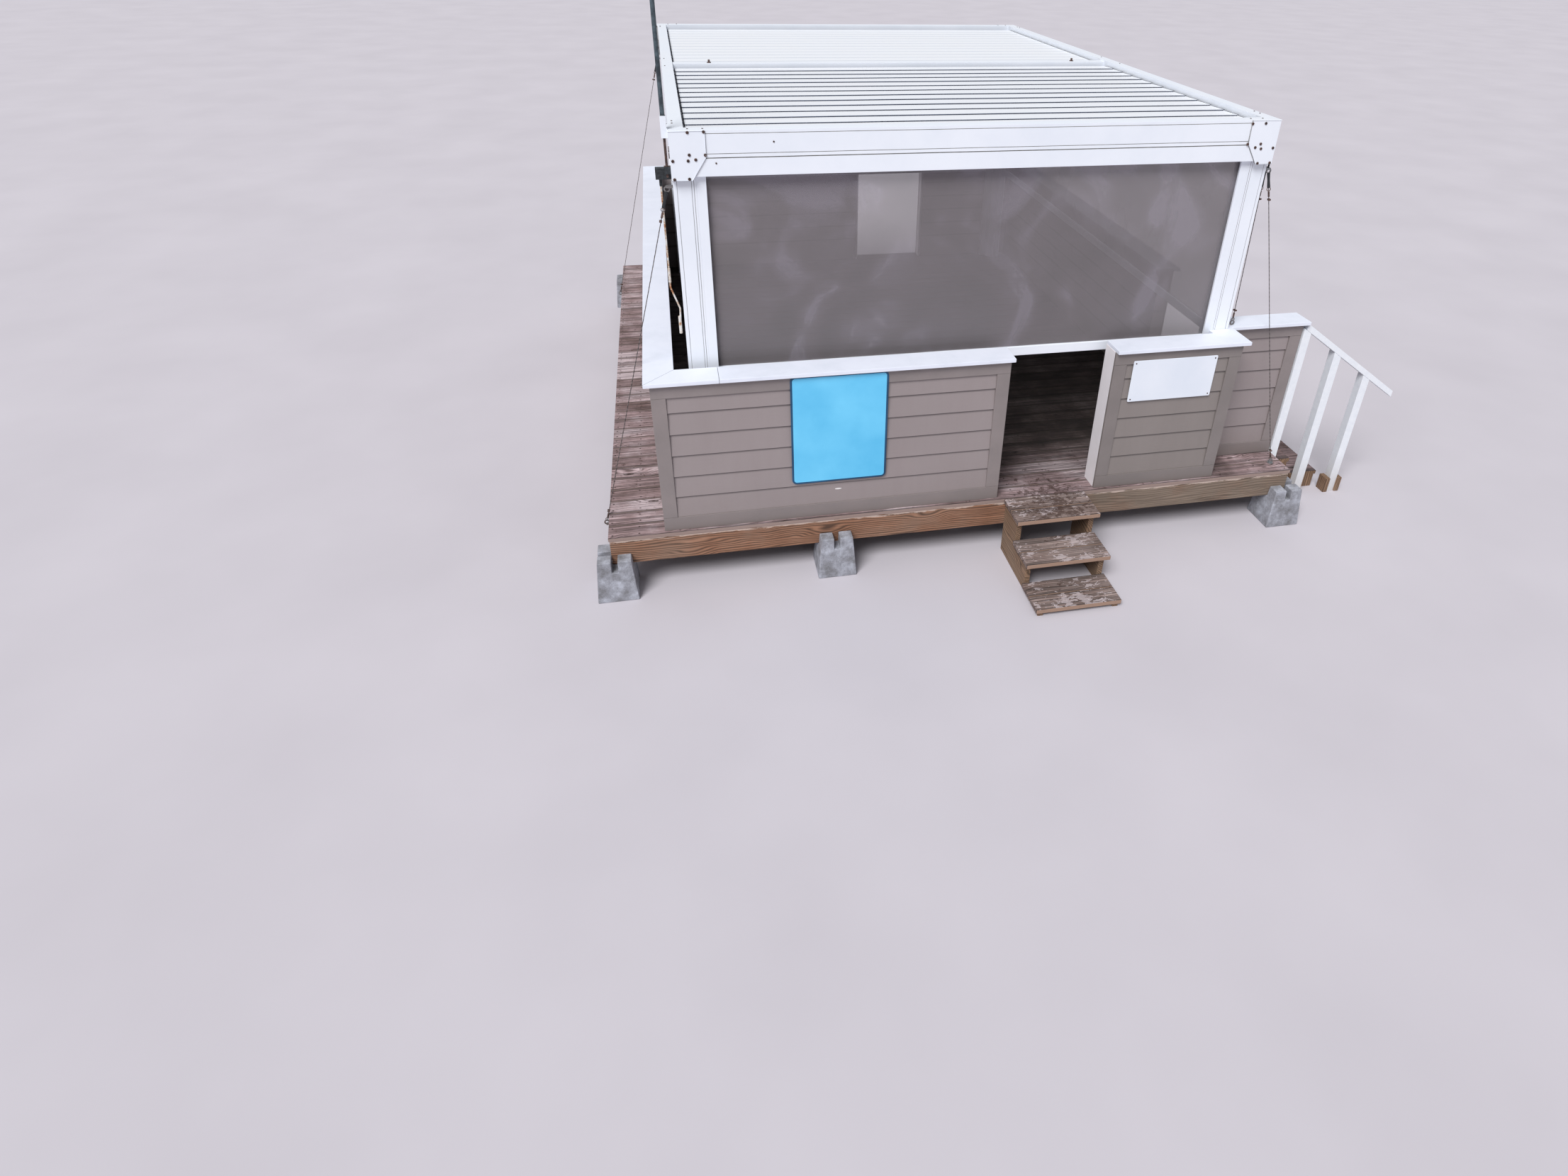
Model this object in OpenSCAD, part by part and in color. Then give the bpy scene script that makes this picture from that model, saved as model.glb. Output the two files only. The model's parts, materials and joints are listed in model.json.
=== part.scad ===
// Beach attendants' hut: a raised timber deck with half-height lap-sided walls
// and a white louvred pergola standing on it, with roller shades on four sides.
// Millimetres. X runs right along the front, Y runs towards the back, Z is up.
// The origin is on the ground, under the centre of the pergola.

/* [Deck] */
// Height of the deck floor above the ground
deck_h = 430; // [380:5:600]
// How far the deck reaches left of the pergola's centre
deck_left = 2423; // [2300:1:2700]
// How far the deck reaches right of the pergola's centre
deck_right = 2463; // [2300:1:2700]
// Thickness of the deck boards
board_t = 25; // [20:1:32]
// Thickness of the joists and rim boards
joist_t = 38; // [35:1:45]
// Depth of the joists and rim boards
joist_h = 184; // [140:1:200]
// Width of a deck board
board_w = 140; // [90:1:150]
// Smallest gap between two deck boards
board_gap = 4; // [2:0.5:8]
// Spacing of the joists
joist_pitch = 318.3; // [290:0.1:410]
// How far the deck boards stand proud of the rim boards
board_nose = 6; // [2:1:20]
// Width of a deck block at the ground
block_base = 264; // [220:1:300]
// Width of a deck block at its top
block_top = 214; // [180:1:220]
// Depth of the crossed slots in a deck block
block_slot = 80; // [50:1:90]

/* [Walls] */
// Height of the wall frames above the deck
wall_h = 1048; // [900:1:1200]
// Thickness of a wall
wall_t = 115; // [100:1:140]
// Distance from the pergola's front face to the front wall's face
front_gap = 180; // [160:1:240]
// Distance from the pergola's side to the side wall's face
side_gap = 241; // [220:1:300]
// Left edge of the doorway
door_left = 189; // [100:1:250]
// Clear width of the doorway between its jambs
door_w = 719; // [650:1:800]
// Width of a trim board
trim_w = 89; // [70:1:120]
// Thickness of a trim board and of a jamb board
trim_t = 19; // [12:1:24]
// Depth of the front doorway's jamb boards behind the trim
jamb_d = 138; // [100:1:150]
// Distance of the left front cap's joint from the pergola's left side
cap_joint_in = 171; // [120:1:400]
// Height of the base board
base_h = 97; // [60:1:140]
// Exposed height of a siding course
course_h = 151.5; // [100:0.1:200]
// How far the lower edge of a course stands off the wall
course_butt = 13; // [8:1:16]
// How far the upper edge of a course stands off the wall
course_top = 4; // [2:1:7]
// Thickness of the cap boards
cap_t = 25; // [19:1:38]
// Width of the cap boards
cap_w = 185; // [160:1:200]
// Overhang of the cap boards outside the walls
cap_over = 29; // [15:1:40]
// How far the front caps run past the right corner
cap_end_over = 36; // [20:1:50]
// Set-back of the wing wall behind the pergola's front face
wing_set = 77; // [60:1:90]
// Clear width of the side entrance behind the wing wall
side_door_w = 1058; // [900:1:1300]

/* [Pergola] */
// Width of the pergola over its beams
pergola_w = 3658; // [3400:1:3900]
// Depth of the pergola over its beams
pergola_d = 4877; // [4700:1:5100]
// Height of the beams' top above the deck
pergola_h = 2460; // [2300:5:2700]
// Depth of the beams
beam_h = 246; // [200:1:280]
// Thickness of the beams
beam_t = 80; // [70:1:100]
// Height of the lower groove above the beam's lower edge
groove_z = 99; // [60:1:130]
// Height of the upper groove above the lower one
groove_step = 22; // [12:1:30]
// Width of the beam between the two louvre banks
mid_beam_w = 90; // [70:1:110]
// Width of the square posts
post_w = 127; // [110:1:140]
// Set-back of the posts behind the beams' front face
post_inset = 32; // [10:1:50]
// Width of the shade guides beside the posts
guide_w = 55; // [45:1:65]
// Depth of the shade guides
guide_d = 60; // [50:1:75]
// Reach of the corner plates along the beams
plate_w = 196; // [170:1:230]
// Thickness of the corner plates
plate_t = 4; // [3:0.5:6]
// How far the corner plates reach below the beams
plate_drop = 20; // [10:1:40]
// Width of the corner plates' cut-off corner
plate_cut_w = 82; // [40:1:100]
// Height of the corner plates' cut-off corner
plate_cut_h = 125; // [60:1:150]

/* [Louvres] */
// Number of louvres in each bank
louvre_n = 13; // [10:1:14]
// Gap between an end beam and the louvre next to it
end_play = 65; // [50:1:90]
// Gap between the middle beam and the louvre next to it
mid_play = 29.5; // [20:0.5:45]
// Gap between the tops of two closed louvres
louvre_play = 8; // [6:1:14]
// How far a louvre's gutter reaches under the next one
gutter_reach = 17; // [12:1:22]
// Height of the pivots below the beams' top
louvre_drop = 40; // [30:1:60]
// Depth of a louvre's hollow body
louvre_body_h = 20; // [16:1:24]
// Gap between a louvre's end and the side beam
louvre_end_gap = 16; // [10:1:30]
// Angle by which the front bank stands open
front_tilt = 2; // [0:1:80]
// Angle by which the back bank stands open
back_tilt = 0; // [0:1:80]
// Radius of a pivot pin
pin_r = 5; // [4:0.5:5.5]
// Radial clearance of a pivot pin in the beam
pin_play = 1; // [0.8:0.1:2]

/* [Shades] */
// Thickness of the shade cloth with its hems
cloth_t = 3; // [2:0.5:5]
// Height of a shade's bottom bar
bar_h = 65; // [40:1:80]
// Thickness of a shade's bottom bar
bar_t = 24; // [16:1:30]
// Height of the bottom bars' lower edge above the deck
bar_z = 970; // [800:1:1200]

/* [Front steps] */
// Left end of the front treads
tread_left = 235; // [150:1:300]
// Length of the front treads
tread_w = 594; // [500:1:700]
// Thickness of the treads
tread_t = 32; // [25:1:40]
// Width of one tread board
tread_board = 140; // [120:1:150]
// Gap between the two boards of a tread
tread_gap = 5; // [3:1:10]
// Height of the lowest tread's top above the ground
step_low = 60; // [45:1:90]
// Horizontal distance from nosing to nosing
step_run = 234; // [200:1:290]
// How far the treads stand out beyond the step sides
tread_over = 16; // [5:1:30]

/* [Side stair] */
// Slope of the raking rail
rail_slope = 34; // [28:1:38]
// Length of the raking rail along the ground
rail_run = 925; // [800:5:1100]
// Thickness of the raking rail
rail_t = 42; // [35:1:60]
// Width of a rail post
rail_post_w = 64; // [50:1:90]
// Spacing of the rail posts
rail_post_pitch = 308; // [280:1:330]
// Width of the side stair
side_stair_w = 780; // [700:5:800]
// Horizontal distance between the side stair's treads
stair_run = 280; // [230:5:300]
// How far an upper tread of the side stair laps over the lower one
stair_lap = 15; // [8:1:30]

/* [Crank] */
// Height of the crank's upper elbow above the deck
crank_elbow_h = 1547; // [1500:1:1600]
// Height of the crank's lower elbow above the deck
crank_knee_h = 1414; // [1370:1:1450]
// Height of the crank's lower end above the deck
crank_foot_h = 1256; // [1180:1:1300]
// Sideways reach of the crank
crank_reach = 45; // [30:1:50]
// Diameter of the crank rod
crank_d = 10; // [8:1:14]

/* [Mast and stays] */
// Diameter of the mast
mast_d = 24; // [20:1:34]
// Height of the mast's top above the deck
mast_top = 3800; // [3000:10:4500]
// Diameter of a stay wire
wire_d = 5; // [4:0.5:8]

/* [Hidden] */
$fn = 32;

function numbered(name) = [for (i = [1:louvre_n]) str(name, i)];

timber = "#9a8c7c";
treated = "#a8704a";
taupe = "#857a70";
white = "#eef1f3";
mesh_brown = "#7c7571";
concrete = "#9c9a94";
steel = "#8a8d90";

// Places derived from the sizes above
half_w = pergola_w / 2;
half_d = pergola_d / 2;
wall_front = -half_d - front_gap;
wall_left = -half_w - side_gap;
wall_right = half_w + side_gap;
wall_back_inner = half_d - post_inset + 2;
wall_back = wall_back_inner + wall_t;
rim_front = wall_front - 19;
rim_back = wall_back + 19;
rim_left = -deck_left;
rim_right = deck_right;
rim_top = deck_h - board_t;
rim_bottom = rim_top - joist_h;
front_right_end = half_w + 6;
door_right = door_left + door_w;
jamb_right = door_right + trim_t;
wing_front = -half_d + wing_set;
wing_back = wing_front + wall_t;
right_wall_front = wing_back + side_door_w;
cap_z = deck_h + wall_h;
beam_top = deck_h + pergola_h;
beam_bottom = beam_top - beam_h;
post_outer = half_w;
post_front = -half_d + post_inset;

// Louvre section, looking along +X: depth, height
louvre_pitch = (half_d - beam_t - mid_beam_w / 2 - end_play - mid_play - gutter_reach + louvre_play) / louvre_n;
lip_ahead = 7;
lip = louvre_pitch / 2 + lip_ahead;
lip_t = 3;
louvre_top = 6;
louvre_bottom = louvre_top - louvre_body_h;
lip_reach = 28;
front_foot = lip - lip_reach;
rear_edge = louvre_pitch - lip - louvre_play;
gutter_edge = rear_edge + gutter_reach;
gutter_lip = -7;
louvre_section = [
    [-lip, louvre_top - lip_t], [-lip, louvre_top], [rear_edge, louvre_top],
    [rear_edge, louvre_bottom + lip_t], [gutter_edge - lip_t, louvre_bottom + lip_t],
    [gutter_edge - lip_t, gutter_lip], [gutter_edge, gutter_lip], [gutter_edge, louvre_bottom],
    [-front_foot, louvre_bottom], [-front_foot - 14, louvre_top - lip_t]];
louvre_z = beam_top - louvre_drop;
inner_w = pergola_w - 2 * beam_t;
louvre_len = inner_w - 2 * louvre_end_gap;
pin_seat = 20;
front_last = -mid_beam_w / 2 - mid_play - gutter_edge;
back_first = mid_beam_w / 2 + mid_play + lip;
function front_louvre_y(i) = front_last - (louvre_n - i) * louvre_pitch;
function back_louvre_y(i) = back_first + (i - 1) * louvre_pitch;
louvre_ys = concat([for (i = [1:louvre_n]) front_louvre_y(i)], [for (i = [1:louvre_n]) back_louvre_y(i)]);

// Joists lie evenly about the middle. Blocks stand under some of them and under the front and back rims;
// those on each side of the front steps stand back, under joists.
joist_room = 10;
joists_each_side = floor((min(deck_left, deck_right) - 1.5 * joist_t - joist_room) / joist_pitch);
joist_xs = [for (k = [-joists_each_side:joists_each_side]) k * joist_pitch];
beside_steps = ceil((tread_left + tread_w - tread_over + block_base / 2 + joist_room) / joist_pitch);
rim_block_xs = [rim_left + joist_t / 2, rim_right - joist_t / 2, -3 * joist_pitch];
step_block_xs = [0, beside_steps * joist_pitch];
step_block_back = 480;
inner_block_xs = [for (k = [-joists_each_side, -3, 0, 4, joists_each_side]) k * joist_pitch];
block_row_pitch = (rim_back - joist_t / 2) / 2;

// Front steps: tread 1 is level with the deck
tread_d = 2 * tread_board + tread_gap;
step_front = rim_front - board_nose;
step_n = 3;
step_rise = (deck_h - step_low) / (step_n - 1);
side_t = 38;

// Side stair: two treads below the landing, beside the raking rail
stair_rise = deck_h / 3;
stair_off = 20;
rail_ahead = 12;
rail_butt = 0.5;
cleat_ahead = 12;
cleat_h = 125;
stair_y = wing_front + rail_post_w + stair_off;
rail_y = wing_front - rail_ahead;
rail_start = rim_right + board_nose;
rail_start_z = cap_z - 32;
function rail_z(x) = rail_start_z - (x - rail_start) * tan(rail_slope);
rail_post_xs = [for (k = [0:2]) rail_start + k * rail_post_pitch];

// Stays: fixing on the post, anchor
stay_z = beam_bottom - 75;
eye_r = 14;
eye_up = 18;
eye_spread = 34;
rim_eye_z = rim_top - 35;
rim_eye_out = 27;
stay_out = 35;
front_anchor_in = 80;
rear_anchor_in = 577;
cap_anchor_out = 60;
cap_anchor_in = 10;
deck_anchor_in = 90;
deck_anchor_out = 83;
mast_x = -half_w - plate_t - mast_d / 2 - 8;
mast_y = -half_d + 50;

// Box from its two far corners given by ranges along X, Y and Z
module block(x, y, z) {
    translate([x[0], y[0], z[0]]) cube([x[1] - x[0], y[1] - y[0], z[1] - z[0]]);
}

// Round rod from point a to point b
module rod(a, b, r) {
    v = b - a;
    length = norm(v);
    translate(a) rotate([0, acos(v[2] / length), atan2(v[1], v[0])]) cylinder(r = r, h = length, $fn = 16);
}

// Outline (depth, height) drawn in Y and Z, extruded along X from x0
module along_x(x0, length) {
    translate([x0, 0, 0]) rotate([90, 0, 90]) linear_extrude(length) children();
}

// Eye ring standing in the XZ plane
module eye(p) {
    translate(p + [0, 3.5, 0]) rotate([90, 0, 0]) difference() {
        cylinder(r = eye_r + 3.5, h = 7);
        translate([0, 0, -1]) cylinder(r = eye_r - 3.5, h = 9);
    }
}

// Tapered concrete deck block with four horns round two crossed slots
module deck_block(x, y) {
    height = rim_bottom + block_slot;
    outline = [[-block_base / 2, 0], [block_base / 2, 0], [block_top / 2, height], [-block_top / 2, height]];
    slot_w = joist_t + 3;
    translate([x, y, 0]) difference() {
        intersection() {
            along_x(-block_base / 2, block_base) polygon(outline);
            rotate([0, 0, 90]) along_x(-block_base / 2, block_base) polygon(outline);
        }
        for (a = [0, 90]) rotate([0, 0, a])
            block([-block_base, block_base], [-slot_w / 2, slot_w / 2], [rim_bottom, height + 1]);
    }
}

module deck_blocks() {
    color(concrete) {
        for (x = rim_block_xs, y = [rim_front + joist_t / 2, rim_back - joist_t / 2]) deck_block(x, y);
        for (x = step_block_xs, y = [rim_front + step_block_back, rim_back - joist_t / 2]) deck_block(x, y);
        for (x = inner_block_xs, k = [-1:1]) deck_block(x, k * block_row_pitch);
    }
}

// Front and back rim boards of the deck
module rim_joists() {
    color(treated) {
        block([rim_left, rim_right], [rim_front, rim_front + joist_t], [rim_bottom, rim_top]);
        block([rim_left, rim_right], [rim_back - joist_t, rim_back], [rim_bottom, rim_top]);
    }
}

// Joists from front to back, with a rim board on each side
module deck_joists() {
    y = [rim_front + joist_t, rim_back - joist_t];
    color(treated) {
        for (x = joist_xs) block([x - joist_t / 2, x + joist_t / 2], y, [rim_bottom, rim_top]);
        block([rim_left, rim_left + joist_t], y, [rim_bottom, rim_top]);
        block([rim_right - joist_t, rim_right], y, [rim_bottom, rim_top]);
    }
}

// Deck boards from side to side, spread so that the first and the last stand proud of the rims
module deck_floor() {
    depth = rim_back - rim_front + 2 * board_nose;
    n = floor((depth + board_gap) / (board_w + board_gap));
    pitch = (depth - board_w) / (n - 1);
    color(timber) for (k = [0:n - 1]) let (y = rim_front - board_nose + k * pitch)
        block([rim_left - board_nose, rim_right + board_nose], [y, y + board_w], [rim_top, deck_h]);
}

// Front step treads: each is two boards laid across the sides
module front_step_treads() {
    color(timber) for (i = [0:step_n - 1], j = [0, 1]) {
        y = step_front - tread_d - i * step_run + j * (tread_board + tread_gap);
        z = deck_h - i * step_rise;
        block([tread_left, tread_left + tread_w], [y, y + tread_board], [z - tread_t, z]);
    }
}

// Closed step sides cut to the treads, with cleats under each tread
module front_step_sides() {
    last = step_n - 1;
    cut = function (i) step_front - (i + 1) * step_run + 1;
    toe = step_front - tread_d - last * step_run + 12;
    under = function (i) deck_h - i * step_rise - tread_t;
    outline = concat([[rim_front, 0], [rim_front, under(0)]],
        [for (i = [0:last - 1], j = [0, 1]) [cut(i), under(i + j)]],
        [[toe, under(last)], [toe, 0]]);
    color(treated) for (x = [tread_left + tread_over, tread_left + tread_w - tread_over - side_t])
        along_x(x, side_t) polygon(outline);
}

// Side stair: two treads between cut sides, leading down to the right, and two cleats that hold the
// last rail post's foot
module side_stair() {
    x = function (i) rim_right + i * stair_run;
    z = function (i) deck_h - i * stair_rise - tread_t;
    outline = [[x(0), 0], [x(0), z(1)], [x(1) - stair_lap, z(1)], [x(1) - stair_lap, z(2)],
        [x(2) - stair_lap, z(2)], [x(2) - stair_lap, 0]];
    color(timber) {
        for (i = [1, 2])
            block([x(i - 1) - (i == 1 ? 0 : stair_lap), x(i)], [stair_y, stair_y + side_stair_w], [z(i), z(i) + tread_t]);
        for (y = [stair_y + side_t, stair_y + side_stair_w])
            translate([0, y, 0]) rotate([90, 0, 0]) linear_extrude(side_t) polygon(outline);
        for (x = [rail_post_xs[2] - rail_butt - side_t, rail_post_xs[2] + rail_post_w + rail_butt])
            block([x, x + side_t], [rail_y - cleat_ahead, rail_y + rail_post_w + cleat_ahead], [0, cleat_h]);
    }
}

module side_rail_posts() {
    color(white) for (x = rail_post_xs)
        difference() {
            block([x, x + rail_post_w], [rail_y, rail_y + rail_post_w], [0, rail_z(x)]);
            translate([x, rail_y - 1, rail_z(x)]) rotate([0, rail_slope, 0])
                cube([2 * rail_post_w, rail_post_w + 2, 2 * rail_post_w]);
        }
}

// Raking rail on the posts, butted to the end of the wing wall's cap
module side_handrail() {
    start = rim_right + cap_over + rail_butt;
    end = rail_start + rail_run;
    rise = rail_t / cos(rail_slope);
    color(white) translate([0, rail_y + rail_post_w, 0]) rotate([90, 0, 0]) linear_extrude(rail_post_w)
        polygon([[start, rail_z(start)], [end, rail_z(end)], [end, rail_z(end) + rise], [start, rail_z(start) + rise]]);
}

// Siding profile between base board and frieze: depth out from the core, height
function siding_section() = let (
        top = wall_h - trim_w,
        n = floor((top - base_h) / course_h),
        lap = function (k) base_h + k * course_h)
    concat([[0, base_h]],
        [for (k = [0:n], j = [0, 1])
            let (z = j == 0 ? lap(k) : min(lap(k + 1), top),
                 share = (z - lap(k)) / course_h)
            [-(course_butt - share * (course_butt - course_top)), z]],
        [[0, top]]);

// Straight wall drawn along +X with its face towards -Y: core and lap siding.
// The trim layer lies in front of the core, and the siding stops at the corner boards.
// At a doorway the core makes room for the jamb board behind the corner board.
module wall_run(length, end_l = trim_w, end_r = trim_w, jamb_l = 0, jamb_r = 0) {
    block([jamb_l, length - jamb_r], [trim_t, wall_t], [0, wall_h]);
    along_x(end_l, length - end_l - end_r) translate([trim_t, 0]) polygon(siding_section());
}

// Frieze, base and corner boards of a straight wall, butted with a hairline joint
module trim_run(length, end_l = trim_w, end_r = trim_w) {
    block([0, length], [0, trim_t], [wall_h - trim_w, wall_h]);
    block([0, length], [0, trim_t], [0, base_h]);
    for (x = [[0, end_l], [length - end_r, length]]) if (x[1] > x[0])
        block(x, [0, trim_t], [base_h + butt_joint, wall_h - trim_w - butt_joint]);
}

// Puts a straight wall with its left end at p, turned so that its face looks out
module on_deck(x, y, turn) {
    translate([x, y, deck_h]) rotate([0, 0, turn]) children();
}

butt_joint = 1;
front_left_len = door_left - wall_left;
front_right_len = front_right_end - door_right;
wing_len = rim_right - front_right_end;
side_from = wall_front + wall_t;
left_len = wall_back_inner - side_from;
right_len = wall_back_inner - right_wall_front;
rear_left_len = door_left - wall_left;
rear_right_len = wall_right - door_right;

module front_wall_left() {
    color(taupe) on_deck(wall_left, wall_front, 0) wall_run(front_left_len, jamb_r = trim_t);
}

module front_wall_right() {
    color(taupe) on_deck(door_right, wall_front, 0) wall_run(front_right_len, jamb_l = trim_t);
}

// Wing wall with the short return that closes it to the front wall's end
module wing_wall() {
    color(taupe) {
        on_deck(front_right_end, wing_front, 0) wall_run(wing_len, 0, trim_w);
        block([front_right_end - wall_t, front_right_end], [wall_front + wall_t, post_front - 2],
            [deck_h, deck_h + wall_h]);
    }
}

module left_wall() {
    color(taupe) on_deck(wall_left, wall_back_inner, -90) wall_run(left_len);
}

module right_wall() {
    color(taupe) on_deck(wall_right, right_wall_front, 90) wall_run(right_len);
}

module rear_wall() {
    color(taupe) {
        on_deck(door_left, wall_back, 180) wall_run(rear_left_len, jamb_l = trim_t);
        on_deck(wall_right, wall_back, 180) wall_run(rear_right_len, jamb_r = trim_t);
    }
}

module trim_boards() {
    color(taupe) {
        on_deck(wall_left, wall_front, 0) trim_run(front_left_len);
        on_deck(door_right, wall_front, 0) trim_run(front_right_len);
        on_deck(front_right_end, wing_front, 0) trim_run(wing_len, 0, trim_w);
        on_deck(wall_left, wall_back_inner, -90) trim_run(left_len);
        on_deck(wall_right, right_wall_front, 90) trim_run(right_len);
        on_deck(door_left, wall_back, 180) trim_run(rear_left_len);
        on_deck(wall_right, wall_back, 180) trim_run(rear_right_len);
    }
}

// White boards lining the front and back doorways, behind the corner boards
module door_jambs() {
    color(white) for (y = [[wall_front + trim_t, wall_front + trim_t + jamb_d], [wall_back_inner, wall_back - trim_t]]) {
        block([door_left - trim_t, door_left], y, [deck_h, cap_z]);
        block([door_right, jamb_right], y, [deck_h, cap_z]);
    }
}

// Flat cap board outline, extruded upwards from the wall tops
module cap(points) {
    color(white) translate([0, 0, cap_z]) linear_extrude(cap_t) polygon(points);
}

cap_front = wall_front - cap_over;
cap_left = wall_left - cap_over - 7;
cap_right = wall_right + cap_over + 7;
cap_back = wall_back + cap_over;
cap_inner_y = cap_front + cap_w;
rear_cap_y = wall_back_inner + 1;
cap_joint = -half_w + cap_joint_in;

// Cap boards along the front, the wing and the back
module front_caps() {
    cap([[cap_left, cap_front], [cap_joint - butt_joint, cap_front], [cap_joint - butt_joint, cap_inner_y],
         [cap_left + cap_w, cap_inner_y]]);
    cap([[cap_joint, cap_front], [door_left + 18, cap_front], [door_left + 18, cap_inner_y],
         [cap_joint, cap_inner_y]]);
    cap([[door_right + 2, cap_front], [front_right_end + cap_end_over, cap_front],
         [front_right_end + cap_end_over, wing_front - cap_over - 5],
         [rim_right + cap_over, wing_front - cap_over - 5],
         [rim_right + cap_over, wing_front - cap_over - 5 + cap_w],
         [front_right_end - 2, wing_front - cap_over - 5 + cap_w],
         [front_right_end - 2, post_front - 2],
         [front_right_end - cap_w + cap_end_over, post_front - 2],
         [front_right_end - cap_w + cap_end_over, cap_inner_y], [door_right + 2, cap_inner_y]]);
    cap([[cap_left, cap_back], [cap_left + cap_w, rear_cap_y], [door_left + 18, rear_cap_y],
         [door_left + 18, cap_back]]);
    cap([[cap_right, cap_back], [cap_right - cap_w, rear_cap_y], [door_right + 2, rear_cap_y],
         [door_right + 2, cap_back]]);
}

// Cap boards along the two sides, mitred to the others at the corners; the left one is two boards
cap_seam = -40;
module side_caps() {
    cap([[cap_left, cap_front], [cap_left + cap_w, cap_inner_y], [cap_left + cap_w, cap_seam],
         [cap_left, cap_seam]]);
    cap([[cap_left, cap_seam + butt_joint], [cap_left + cap_w, cap_seam + butt_joint],
         [cap_left + cap_w, rear_cap_y], [cap_left, cap_back]]);
    cap([[cap_right, right_wall_front - cap_over], [cap_right, cap_back],
         [cap_right - cap_w, rear_cap_y], [cap_right - cap_w, right_wall_front - cap_over]]);
}

// Raw studs fixed flat to the outside of the left wall, under its cap
stud_w = 89;
stud_first = 690;
stud_pitch = 1220;
stud_ys = [for (y = [wall_front + front_gap + stud_first : stud_pitch : wall_back - 2 * stud_w]) y];

module wall_studs() {
    color(treated) for (y = stud_ys)
        block([wall_left - joist_t, wall_left], [y, y + stud_w], [deck_h, cap_z]);
}

// Runs its children at the four corners, each seen from the front left corner
module at_corners() {
    for (mx = [0, 1], my = [0, 1]) mirror([mx, 0, 0]) mirror([0, my, 0]) children();
}

// Two outward faces of each post carry fine lines along their length
post_lines = [21, post_w - 26, post_w - 13];
line_w = 3;
line_d = 2;
module pergola_posts() {
    color(white) at_corners() translate([-post_outer, post_front, deck_h]) linear_extrude(beam_bottom - deck_h)
        difference() {
            square(post_w);
            for (s = post_lines) {
                translate([s - line_w / 2, -1]) square([line_w, line_d + 1]);
                translate([-1, s - line_w / 2]) square([line_d + 1, line_w]);
            }
        }
}

// Shade guide section: a channel with a slot for the cloth
slot_d = 30;
slot_w = bar_t + 6;
module guide_section() {
    difference() {
        square([guide_w, guide_d]);
        translate([guide_w - slot_d, (guide_d - slot_w) / 2]) square([slot_d + 1, slot_w]);
    }
}

module shade_guides() {
    color(white) at_corners() {
        translate([-post_outer + post_w, post_front, deck_h]) linear_extrude(beam_bottom - deck_h) guide_section();
        translate([-post_outer, post_front + post_w, deck_h]) mirror([1, -1, 0]) linear_extrude(beam_bottom - deck_h)
            guide_section();
    }
}

// Beam section: outward face at 0, with two grooves above the shade housing and one below the top
module beam_section() {
    difference() {
        square([beam_t, beam_h]);
        translate([-1, groove_z - 2.5]) square([5, 5]);
        translate([-1, groove_z + groove_step - 1.5]) square([3, line_w]);
        translate([-1, beam_h - 20]) square([3, line_w]);
    }
}

module end_beams() {
    color(white) for (m = [0, 1]) mirror([0, m, 0])
        translate([0, -half_d, beam_bottom]) along_x(-half_w, pergola_w) beam_section();
}

// Side beams, bored on the inside for the louvres' pins
module side_beams() {
    color(white) for (m = [0, 1]) mirror([m, 0, 0]) difference() {
        translate([-half_w, half_d - beam_t, beam_bottom]) rotate([0, 0, -90])
            along_x(0, pergola_d - 2 * beam_t) beam_section();
        for (y = louvre_ys) translate([-half_w + beam_t - pin_seat - 4, y, louvre_z]) rotate([0, 90, 0])
            cylinder(r = pin_r + pin_play, h = pin_seat + 5);
        block([-half_w - 1, -half_w + 2], [-1.5, 1.5], [beam_bottom - 1, beam_top + 1]);
        block([-half_w - 1, -half_w + beam_t + 1], [-1.5, 1.5], [beam_top - 2, beam_top + 1]);
    }
}

// Beam between the banks, with two dark lifting lugs on its top
mid_beam_h = 150;
mid_drop = 10;
lug_in = 275;
lug_r = 16;
module middle_beam() {
    color(white) block([-inner_w / 2, inner_w / 2], [-mid_beam_w / 2, mid_beam_w / 2],
        [beam_top - mid_drop - mid_beam_h, beam_top - mid_drop]);
    color("#3a3d40") for (x = [lug_in - inner_w / 2, inner_w / 2 - lug_in]) translate([x, 0, beam_top - mid_drop]) {
        cylinder(r = lug_r, h = lug_r / 3);
        cylinder(r = lug_r / 2, h = 1.4 * lug_r);
    }
}

// Corner plate bent round the outside of each corner, its lower edge cut back to the post
module corner_plates() {
    low = beam_bottom - plate_drop;
    face = [[0, low], [plate_w - plate_cut_w, low], [plate_w, low + plate_cut_h], [plate_w, beam_top], [0, beam_top]];
    color(white) at_corners() {
        translate([-half_w - plate_t, -half_d, 0]) rotate([90, 0, 0]) linear_extrude(plate_t) polygon(face);
        translate([-half_w, -half_d - plate_t, 0]) rotate([90, 0, -90]) mirror([1, 0, 0]) linear_extrude(plate_t)
            polygon(face);
    }
}

// Shade cloth hangs in the middle of the guides' slots, from the beams down to its bar
shade_plane = guide_d / 2;
end_shade_x = post_outer - post_w - guide_w + slot_d - 4;
side_shade_y = -(post_front + post_w + guide_w - slot_d + 4);
shade_top = beam_bottom;
bar_bottom = deck_h + bar_z;
bar_top = bar_bottom + bar_h;

module end_cloth(y) {
    block([-end_shade_x, end_shade_x], [y - cloth_t / 2, y + cloth_t / 2], [bar_top, shade_top]);
}

module front_shade() {
    color(mesh_brown) end_cloth(post_front + shade_plane);
}

module back_and_side_shades() {
    color(mesh_brown) {
        end_cloth(-post_front - shade_plane);
        for (m = [0, 1]) mirror([m, 0, 0])
            block([-post_outer + shade_plane - cloth_t / 2, -post_outer + shade_plane + cloth_t / 2],
                [-side_shade_y, side_shade_y], [bar_top, shade_top]);
    }
}

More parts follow.
